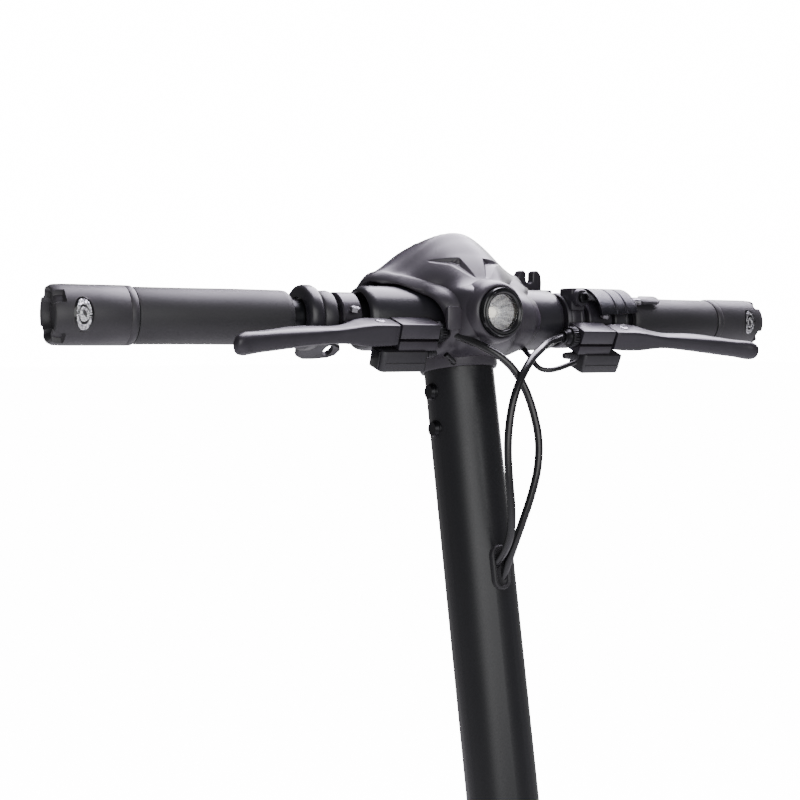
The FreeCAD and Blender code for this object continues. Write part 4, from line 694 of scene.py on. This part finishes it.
# ---- Thumb throttle
# A housing clamped on the bar with a ring inside that turns. The paddle is moulded with the
# ring, has a lightening hole and hangs below the bar for the right thumb.
THROTTLE_END = -117.0
housing = [(0, 12.8), (0, 17.2), (0.5, 18.4), (1.6, 19.6), (3.2, 20), (7.2, 20), (9.0, 19.2), (10.2, 17.2),
           (10.4, 15.5), (10.4, 11.3), (2.6, 11.3), (2.2, 12.4), (0.9, 12.6)]
fit(turned("throttle_housing_shell", housing, at_bar(THROTTLE_END, 0, 0), X), "stem", "charcoal_plastic",
    satin_nylon, "throttle_housing")
ring = [(10.9, 11.3), (10.9, 14.4), (11.5, 15.8), (13, 16.6), (18.4, 16.8), (20, 16.3), (20.8, 15),
        (20.9, 11.3)]
ring = turned("throttle_ring", ring, at_bar(THROTTLE_END, 0, 0), X)
lean = math.radians(40)


def at_paddle(a, b, c):
    """A place on the paddle: along the bar, out from the bar's axis and through its thickness."""
    return at_bar(a, b * math.cos(lean) + c * math.sin(lean), -b * math.sin(lean) + c * math.cos(lean))


def way_out(outline, centre, angle):
    """Distance from a centre to an outline in one direction."""
    c, s = math.cos(angle), math.sin(angle)
    far = 0.0
    for (ax, ay), (bx, by) in zip(outline, outline[1:] + outline[:1]):
        ax, ay, dx, dy = ax - centre[0], ay - centre[1], bx - ax, by - ay
        cross = c * dy - s * dx
        if abs(cross) > 1e-9 and 0 <= (ax * s - ay * c) / cross <= 1:
            far = max(far, (ax * dy - ay * dx) / cross)
    return far


blade = [(-106, 14), (-106, 30), (-104.5, 35), (-100, 37.7), (-92, 38), (-82, 37.2), (-76.5, 34),
         (-75, 29.5), (-76.5, 26), (-81, 23), (-88, 21), (-96.2, 14)]
hole = (-84, 29.5)
rows = []
for grow, high in ((-1.2, -2.2), (0, -1.2), (0, 1.2), (-1.2, 2.2), (None, 1.8), (None, -1.8)):
    row = []
    for k in range(120):
        angle = 2 * math.pi * k / 120
        c, s = math.cos(angle), math.sin(angle)
        if grow is None:
            row.append(at_paddle(hole[0] + 3.2 * c, hole[1] + 5 * s, high))
        else:
            far = way_out(blade, hole, angle) + grow
            row.append(at_paddle(hole[0] + far * c, hole[1] + far * s, high))
    rows.append(row)
blade = soften(skinned("throttle_blade", rows, capped=False, joined=True), 32)
fit(joined("throttle_lever", ring, blade), "throttle", "charcoal_plastic", matt_abs, "throttle_paddle")


# ---- Hook clamp
# A die-cast collar on the bar with a forked tab above it. When the stem is folded down, the
# fork hangs on the rear mudguard's hook; one socket-head bolt closes the collar.
collar = [(79, 11.3), (79, 18), (79.8, 18.8), (81.5, 19), (82.2, 18.5), (83, 19), (89, 19), (89.8, 18.5),
          (90.6, 19), (92.2, 18.8), (93, 18), (93, 11.3)]
collar = turned("hook_collar", collar, BAR, X, 80)
arc = [(math.cos(math.radians(a)), math.sin(math.radians(a))) for a in range(0, 181, 20)]
mouth = [(74.5 - 2.8 * c, 29 - 2.8 * s) for c, s in arc]
fork = ([(65.5, 19.5), (84, 17), (85, 20), (85.3, 27), (84.6, 32), (82.4, 35), (79.4, 35.2),
         (77.3, 33.6)] + [(x, z) for x, z in reversed(mouth)] + [(71.7, 33.6), (69.6, 35.2), (66.8, 34.6),
                                                                 (64.4, 31), (63.9, 25)])
fork = prism("hook_fork", fork, 19.2, 25.8, lambda a, b, c: at_bar(a, c, b), 1.2, 3)
root = prism("hook_root", [(79.2, 14.2), (79.2, 25.6), (90.5, 25.6), (90.5, 14.2)], 13.5, 21.5, at_bar, 1.0)
boss = turned("hook_boss", [(-24, 0.001), (-24, 5.2), (-23, 6), (-16.4, 6), (-16.4, 0.001)],
              at_bar(86, 0, 15), BACK, 48)
lug = prism("hook_lug", [(80, -19.8), (80, -6.4), (91.8, -6.4), (91.8, -19.8)], 6.4, 21.8, at_bar, 1.4)
fit(joined("hook_body", collar, fork, root, boss, lug), "stem", "satin_black_alloy", cast_paint, "hook_clamp")


def hex_screw(name, place, axis, radius, tall, finish=steel_black):
    """A cap screw: a round head with a hexagonal socket."""
    def socket(along, far, angle):
        return far * (0.9 + 0.1 * math.cos(6 * angle)) if 0.4 < far < radius * 0.7 else far

    head = turned(name, [(0, 0.001), (0, radius), (tall - 0.5, radius), (tall, radius - 0.5),
                         (tall, radius * 0.58), (tall - radius * 0.5, radius * 0.5),
                         (tall - radius * 0.5, 0.001)], place, axis, 48, socket)
    return fit(head, "stem", "bright_steel", finish)


hex_screw("hook_bolt", at_bar(86, -23.8, 15), -BACK, 3.6, 3.0)


# ---- Bell
# A steel chime arched over its base, blackened and then scored by two grooves, with a sprung
# striker beside it that a thumb flicks.
chime_rows = []
for i in range(57):
    along = 104.5 + 33 * i / 56
    groove = 0.5 if min(abs(along - middle) for middle in (118.2, 128)) < 0.55 else 0.0
    flare = 0.8 * max(0.0, 1 - (along - 104.5) / 2.5)
    outer, inner = 22.7 - groove + flare * 0.3, 20.9
    row = []
    for k in range(41):
        angle = math.radians(12 + 156 * k / 40)
        twist = math.radians(6) * (i / 56 - 0.5)
        row.append(at_bar(along, -outer * math.cos(angle + twist), outer * math.sin(angle + twist)))
    for k in range(41):
        angle = math.radians(168 - 156 * k / 40)
        twist = math.radians(6) * (i / 56 - 0.5)
        row.append(at_bar(along, -inner * math.cos(angle + twist), inner * math.sin(angle + twist)))
    chime_rows.append(row)
chime = soften(skinned("bell_dome", chime_rows), 40)


def blackened_steel():
    """Chemically blackened sheet steel: blue-black, with a fine cross hatch from rolling, 0.5 mm apart."""
    made, shader = new_material("blackened_steel")
    tree = made.node_tree
    place = add(tree, "ShaderNodeTexCoord")
    lines = add(tree, "ShaderNodeTexWave", {"Vector": place.outputs["Object"]}, Scale=0.31 / (0.5 * MM),
                wave_type="BANDS", bands_direction="DIAGONAL", Distortion=0.6)
    tint = add(tree, "ShaderNodeMixRGB", {"Fac": lines.outputs["Fac"]}, Color1=linear("#1C1C20"),
               Color2=linear("#3A3A40"))
    relief = add(tree, "ShaderNodeBump", {"Height": lines.outputs["Fac"]}, Strength=0.7, Distance=0.06 * MM)
    tree.links.new(tint.outputs[0], shader.inputs["Base Color"])
    tree.links.new(relief.outputs[0], shader.inputs["Normal"])
    shader.inputs["Metallic"].default_value = 0.8
    shader.inputs["Roughness"].default_value = 0.34
    return made


fit(chime, "stem", "black_bell_alloy", blackened_steel(), "bell_chime")
base = [(123.2, 11.3), (123.2, 14.6), (124, 15.4), (132, 15.4), (132.8, 14.6), (132.8, 11.3)]
base = turned("bell_clamp", base, BAR, X, 64)
post = turned("bell_post", [(13, 3.6), (20.8, 3.6), (20.8, 0.001), (13, 0.001)], at_bar(128, 0, 0),
              Vector((0, 0, 1)), 32)
fit(joined("bell_mount", base, post), "stem", "charcoal_plastic", matt_abs, "bell_base")
tilt_back = math.radians(38)


def at_striker(a, b, c):
    """A place on the striker: along the bar, across and out from the bar's axis."""
    return at_bar(a, b * math.cos(tilt_back) - c * math.sin(tilt_back),
                  b * math.sin(tilt_back) + c * math.cos(tilt_back))


hub = turned("striker_hub", [(133.5, 11.3), (133.5, 14.1), (134, 14.4), (135.4, 14.4), (135.8, 14.1),
                             (135.8, 11.3)], BAR, X, 64)
riser = prism("striker_riser", [(133.6, -1.9), (133.6, 1.9), (135.7, 1.9), (135.7, -1.9)], 12.5, 20,
              at_striker, 0.3)
stalk = prism("striker_stalk", [(133.6, -1.9), (133.6, 1.9), (147, 1.9), (149, 3.8), (163, 3.8),
                                (165.6, 2.2), (165.6, -2.2), (163, -3.8), (149, -3.8), (147, -1.9)], 17.7,
              20.1, at_striker, 0.6)
fit(joined("striker_lever", hub, riser, stalk), "striker", "charcoal_plastic", matt_abs, "bell_striker")
turns_of_spring, wire_r = 6, 0.45
coil = []
for i in range(turns_of_spring * 20 + 1):
    angle = 2 * math.pi * i / 20
    middle = at_bar(139.5 + 7.5 * i / (turns_of_spring * 20), -12.8, 13.2)
    coil.append(middle + Vector((0, math.cos(angle), math.sin(angle))) * 2.1 * MM)


def tube(name, points, radius, smooth=True):
    """A round rod along points in metres: a curve with a bevel."""
    line = bpy.data.curves.new(name, "CURVE")
    line.dimensions = "3D"
    line.bevel_depth = radius * MM
    line.bevel_resolution = 6
    line.resolution_u = 12
    line.use_fill_caps = True
    path = line.splines.new("NURBS" if smooth else "POLY")
    path.points.add(len(points) - 1)
    for spot, point in zip(path.points, points):
        spot.co = (*point, 1)
    if smooth:
        path.order_u = 3
        path.use_endpoint_u = True
    made = bpy.data.objects.new(name, line)
    bpy.context.scene.collection.objects.link(made)
    return made


fit(tube("striker_spring", coil, wire_r), "stem", "bright_steel", zinc_plate)


# ---- Brake cables and switch wires
# Bowden cables: a wound steel liner in a black PVC jacket, 5 mm thick. Each leaves its adjuster,
# loops ahead of the stem and goes in through the gland. Switch wires are 3.4 mm PVC leads.
def pvc_jacket():
    """Extruded PVC: semi-gloss, with long faint drawing lines and a little dust."""
    return textured("pvc_jacket", "#1B1B1D", "#121214", 0.26, 1.4, 0.01, cloud=10, spread=0.05)


jacket = pvc_jacket()
left_pin = bracket_frame("left")
right_pin = bracket_frame("right")
left_route = [left_pin(-51.1, 0, 0)] + [at_bar(*p) for p in ((54, -33, -13.6), (43, -41.5, -15),
                                                             (30.5, -51.5, -18.5), (17, -60, -23.5),
                                                             (5.5, -66, -32), (-3.5, -68.5, -45),
                                                             (-8.5, -69.5, -61), (-10, -69.5, -79),
                                                             (-8.6, -69.5, -98), (-5.6, -68.4, -116),
                                                             (-3, -64.5, -132), (-2.4, -57.5, -144),
                                                             (-2.4, -50.5, -151), (-2.4, -47, -154.5))]
right_route = [right_pin(-51.1, 0, 0)] + [at_bar(*p) for p in ((-18.5, -36, -12.5), (-13, -47, -17),
                                                               (-6, -54.5, -22.5), (2, -59.5, -31),
                                                               (9, -62.5, -43.5), (13.4, -65, -58),
                                                               (16, -67.5, -75), (14.4, -68.4, -93),
                                                               (10.6, -66, -111), (6.4, -61.5, -129),
                                                               (3.6, -55.7, -146), (2.4, -49.6, -160),
                                                               (2.0, -46.6, -167))]
fit(tube("left_brake_cable", left_route, 2.5), "stem", "cable_jacket", jacket, "cockpit_cables")
fit(tube("right_brake_cable", right_route, 2.5), "stem", "cable_jacket", jacket)
left_wire = [at_bar(*p) for p in ((71.5, -34, -28), (60, -34.5, -31.5), (50, -34, -33.5), (44, -30, -32),
                                  (42, -25, -25), (41, -18, -19))]
right_wire = [at_bar(*p) for p in ((-29.5, -31.5, -22.5), (-25, -31, -25.5), (-21.5, -29, -28),
                                   (-19.8, -25.5, -27.4))]
fit(tube("left_switch_wire", left_wire, 1.7), "stem", "cable_jacket", jacket)
fit(tube("right_switch_wire", right_wire, 1.7), "stem", "cable_jacket", jacket)


# ---- Cable gland
# An oval rubber grommet pushed into the stem's slot, with a rounded rim and two cable holes.
behind = X.cross(stem_up) * -1
face = STEM_TOP + stem_up * (-162.5 * MM)


def oval(grow, back):
    """One ring of the gland: an upright stadium 13 by 28 mm, grown and set behind the stem's axis."""
    ring = []
    for k in range(48):
        angle = 2 * math.pi * k / 48
        c, s = math.cos(angle), math.sin(angle)
        x = (6.5 + grow) * c
        z = (6.5 + grow) * s + math.copysign(7.5, s)
        ring.append(face + (X * x + stem_up * z + behind * back) * MM)
    return ring


gland = skinned("gland", [oval(0, -19), oval(0, -24.2), oval(-0.4, -25.0), oval(-1.6, -25.3),
                          oval(-2.4, -24.7), oval(-2.6, -23.8), oval(-3.0, -23.4)])
fit(soften(gland, 60), "stem", "grip_rubber", grip_compound, "cable_grommet")


# ---- Stem, fork and frame
# Aluminium tube and plate, welded, shot-blasted and powder-coated satin black. Powder leaves a
# very fine orange peel, drawn at 0.8 mm, that softens long reflections.
def carry(material, *nodes):
    """Gives carried-over parts a finish."""
    for each in nodes:
        mesh = NODES[each].data
        mesh.materials.clear()
        mesh.materials.append(material)


powder_black = textured("powder_black", "#1D1D20", "#17171A", 0.38, 0.8, 0.012, metallic=0.15, cloud=60)
blasted_alloy = textured("blasted_alloy", "#6F6F74", "#5C5C61", 0.42, 0.5, 0.02, metallic=0.9, cloud=14)
carry(powder_black, "stem_tube", "stem_foot", "deck_frame", "fork", "hinge_base", "latch_lever", "kickstand",
      "deck_belly_plate", "bar_clamp_head", "head_neck")
carry(blasted_alloy, "front_brake_plate", "rear_dropouts", "rear_caliper", "front_brake_arm",
      "rear_caliper_arm")
carry(bar_anodised, "handlebar_tube")
carry(satin_nylon, "front_fender", "rear_fender")
carry(matt_abs, "mode_button")
carry(zinc_plate, "front_axle", "rear_axle", "deck_screws", "headset_bearings")
carry(steel_black, "stem_fasteners")
carry(gloss_abs, "charge_port")


# ---- Stem bolts
# Two button-head screws with hexagonal sockets clamp the stem to the spigot of the bar clamp.
# The upper screw sits deep in a recess. Its head is drawn flat and near black as painted shade of that
# recess; the lower one is bright zinc.
painted_shade_black = textured("painted_shade_black", "#0E0E0F", "#0A0A0B", 0.6, 0.5, 0.01)
for name, along, finish in (("stem_bolt_upper", -47.6, painted_shade_black), ("stem_bolt_lower", -71.5, zinc_plate)):
    seat = STEM_TOP + stem_up * along * MM - X * 22.6 * MM
    hex_screw(name, seat, X * -1, 4.4, 0.9 if finish == painted_shade_black else 2.4, finish)
    washer = turned(name + "_washer", [(-0.6, 2), (-0.6, 6.0), (0.4, 5.8), (0.6, 5.4), (0.6, 2)], seat,
                    X * -1, 40)
    fit(washer, "stem", "bright_steel", steel_black)


# ---- Display
# Smoked acrylic over a circuit board, with the board's copper and solder mask just visible.
def smoked_acrylic():
    """Cast acrylic, tinted: IOR 1.49, deep gloss, faint wiping marks about 25 mm long."""
    made, shader = new_material("smoked_acrylic")
    tree = made.node_tree
    place = add(tree, "ShaderNodeTexCoord")
    wipes = add(tree, "ShaderNodeTexNoise", {"Vector": place.outputs["Object"]}, Scale=1 / (25 * MM),
                Detail=4.0)
    gloss = add(tree, "ShaderNodeMapRange", {"Value": wipes.outputs[0]})
    gloss.inputs["To Min"].default_value = 0.05
    gloss.inputs["To Max"].default_value = 0.13
    tree.links.new(gloss.outputs[0], shader.inputs["Roughness"])
    shader.inputs["Base Color"].default_value = linear("#08090B")
    shader.inputs["IOR"].default_value = 1.49
    return made


def solder_mask():
    """Green epoxy over copper tracks: tracks 0.6 mm apart stand out a little brighter."""
    made, shader = new_material("solder_mask")
    tree = made.node_tree
    place = add(tree, "ShaderNodeTexCoord")
    tracks = add(tree, "ShaderNodeTexBrick", {"Vector": place.outputs["Object"]}, Scale=1 / (6 * MM),
                 Color1=linear("#1E5A36"), Color2=linear("#1A4D2F"), Mortar=linear("#3C8455"))
    tree.links.new(tracks.outputs[0], shader.inputs["Base Color"])
    shader.inputs["Roughness"].default_value = 0.35
    return made


carry(smoked_acrylic(), "display_screen")
carry(solder_mask(), "display_board")


# ---- Wheels
# Tyres are moulded rubber with a straight-ribbed tread; rims are cast and painted black. The
# rear hub holds the motor, and a ventilated steel disc is bolted to its left side.
tyre_rubber = textured("tyre_rubber", "#1E1E1F", "#171718", 0.72, 1.2, 0.05, cloud=20)
cast_wheel = textured("cast_wheel_paint", "#242427", "#1B1B1E", 0.38, 0.7, 0.012, metallic=0.3, cloud=18)


def ground_steel():
    """Stainless disc: rings of grinding marks 0.7 mm apart round the axle, with a faint heat tint."""
    made, shader = new_material("ground_steel")
    tree = made.node_tree
    place = add(tree, "ShaderNodeTexCoord")
    shift = add(tree, "ShaderNodeMapping", {"Vector": place.outputs["Object"]})
    low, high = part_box("rear_brake_disc")
    shift.inputs["Location"].default_value = -(low + high) / 2
    rings = add(tree, "ShaderNodeTexWave", {"Vector": shift.outputs[0]}, Scale=0.31 / (0.7 * MM),
                wave_type="RINGS", rings_direction="X", Distortion=0.4)
    tint = add(tree, "ShaderNodeMixRGB", {"Fac": rings.outputs["Fac"]}, Color1=linear("#A6A5A8"),
               Color2=linear("#C2C1C4"))
    relief = add(tree, "ShaderNodeBump", {"Height": rings.outputs["Fac"]}, Strength=0.5, Distance=0.02 * MM)
    tree.links.new(tint.outputs[0], shader.inputs["Base Color"])
    tree.links.new(relief.outputs[0], shader.inputs["Normal"])
    shader.inputs["Metallic"].default_value = 1.0
    shader.inputs["Roughness"].default_value = 0.3
    return made


carry(cast_wheel, "front_rim", "rear_hub_motor")
carry(ground_steel(), "rear_brake_disc")


def tyre(name, node, body):
    """A tyre on its bead, with three grooves round the tread and cross cuts at its shoulders."""
    low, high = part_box(node)
    hub = (low + high) / 2
    radius, half = (high.z - low.z) / 2 / MM, (high.x - low.x) / 2 / MM
    section = []
    for k in range(49):
        angle = math.radians(-118 + 236 * k / 48)
        across = half * math.copysign(abs(math.sin(angle)) ** 0.8, math.sin(angle))
        rise = (radius - 100) * math.cos(angle) if math.cos(angle) > 0 else 16 * math.cos(angle)
        section.append((across, 100 + rise))
    bead_radius, bead_share = 88, 0.82 * 0.9
    rows = []
    steps = 240
    for i in range(steps):
        angle = 2 * math.pi * i / steps
        row = []
        for across, far in section:
            width = abs(across)
            cut = 0.0
            if far > radius - 5:
                if width < 1.4 or 8.2 < width < 10.6:
                    cut = 2.2
                elif width > 13 and i % 6 < 2:
                    cut = 1.8
            row.append(hub + Vector((across, (far - cut) * math.cos(angle),
                                     (far - cut) * math.sin(angle))) * MM)
        for across, far in section[-2:0:-6]:
            row.append(hub + Vector((across * bead_share, bead_radius * math.cos(angle),
                                     bead_radius * math.sin(angle))) * MM)
        rows.append(row)
    made = soften(skinned(name, rows, capped=False, joined=True), 40)
    return fit(made, body, "tyre_rubber", tyre_rubber, node)


tyre("front_tread", "front_tyre", "front_wheel")
tyre("rear_tread", "rear_tyre", "rear_wheel")


# ---- Deck mat, tail light and what the deck holds
# The mat is ribbed rubber glued into the deck's tray edge. The tail light is red acrylic with
# moulded flutes. The battery is shrink-wrapped, and the controller sits in a finned alloy case.
mat_low, mat_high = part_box("deck_mat")
mat_rubber = textured("mat_rubber", "#2A2A2C", "#212123", 0.68, 0.9, 0.04, cloud=30)
half_w, half_l = (mat_high.x - mat_low.x) / 2 / MM, (mat_high.y - mat_low.y) / 2 / MM
mat_mid = (mat_low + mat_high) / 2
tall = (mat_high.z - mat_low.z) / MM
pitch = 7.5
profile = [(-half_w, 0), (-half_w, tall - 0.6), (-half_w + 0.8, tall)]
start = -half_w + 6
while start + pitch < half_w - 4:
    profile += [(start, tall), (start + 0.5, tall - 1.2), (start + 2.4, tall - 1.2), (start + 2.9, tall)]
    start += pitch
profile += [(half_w - 0.8, tall), (half_w, tall - 0.6), (half_w, 0)]
mat = prism("ribbed_mat", profile, -half_l, half_l,
            lambda a, b, c: Vector((mat_mid.x, mat_mid.y, mat_low.z)) + Vector((a, c, b)) * MM, 0)
fit(mat, "deck", "deck_rubber", mat_rubber, "deck_mat")


def red_acrylic():
    """Transparent red acrylic over a reflector: flutes 2.5 mm apart, drawn as a bump and as bands of lighter
    red that are a painted highlight.
    """
    made, shader = new_material("red_acrylic")
    tree = made.node_tree
    place = add(tree, "ShaderNodeTexCoord")
    flutes = add(tree, "ShaderNodeTexWave", {"Vector": place.outputs["Object"]}, Scale=0.31 / (2.5 * MM),
                 wave_type="BANDS", bands_direction="X")
    # Lighter and darker red bands across the flutes: painted highlight where they catch the light.
    tint = add(tree, "ShaderNodeMixRGB", {"Fac": flutes.outputs["Fac"]}, Color1=linear("#8E0E12"),
               Color2=linear("#C21B1F"))
    relief = add(tree, "ShaderNodeBump", {"Height": flutes.outputs["Fac"]}, Strength=0.8, Distance=0.3 * MM)
    tree.links.new(tint.outputs[0], shader.inputs["Base Color"])
    tree.links.new(relief.outputs[0], shader.inputs["Normal"])
    shader.inputs["Roughness"].default_value = 0.12
    shader.inputs["IOR"].default_value = 1.49
    return made


carry(red_acrylic(), "tail_light")
carry(textured("shrink_wrap", "#1F3B66", "#19325A", 0.3, 3.0, 0.05, cloud=25), "battery_pack")
carry(blasted_alloy, "motor_controller")


# ---- Lower brake cables
# The same jacketed cable leaves the fork crown for the drum brake and the deck's tail for the
# rear caliper.
def at_fork(x, y, s):
    """A place in millimetres from the stem's top: across, behind the steering axis, and up along it."""
    return STEM_TOP + (X * x + behind * y + stem_up * s) * MM


front_route = [at_fork(*p) for p in ((44, -22.6, -866), (44, -36, -867), (43.4, -51, -876),
                                     (42.4, -61, -893), (41.6, -63.5, -913), (41.3, -60, -932),
                                     (41.3, -51.5, -946), (41.3, -42, -951))]
fit(tube("front_lower_cable", front_route, 2.5), "steering", "cable_jacket", jacket, "front_brake_cable")
rear_route = [Vector(p) * MM for p in ((50, 304.1, 146.8), (50.5, 317, 147.2), (51.6, 331, 150.5),
                                       (52.8, 346, 157), (53.4, 361, 165), (53.4, 375, 171))]
fit(tube("rear_lower_cable", rear_route, 2.5), "deck", "cable_jacket", jacket, "rear_brake_cable")
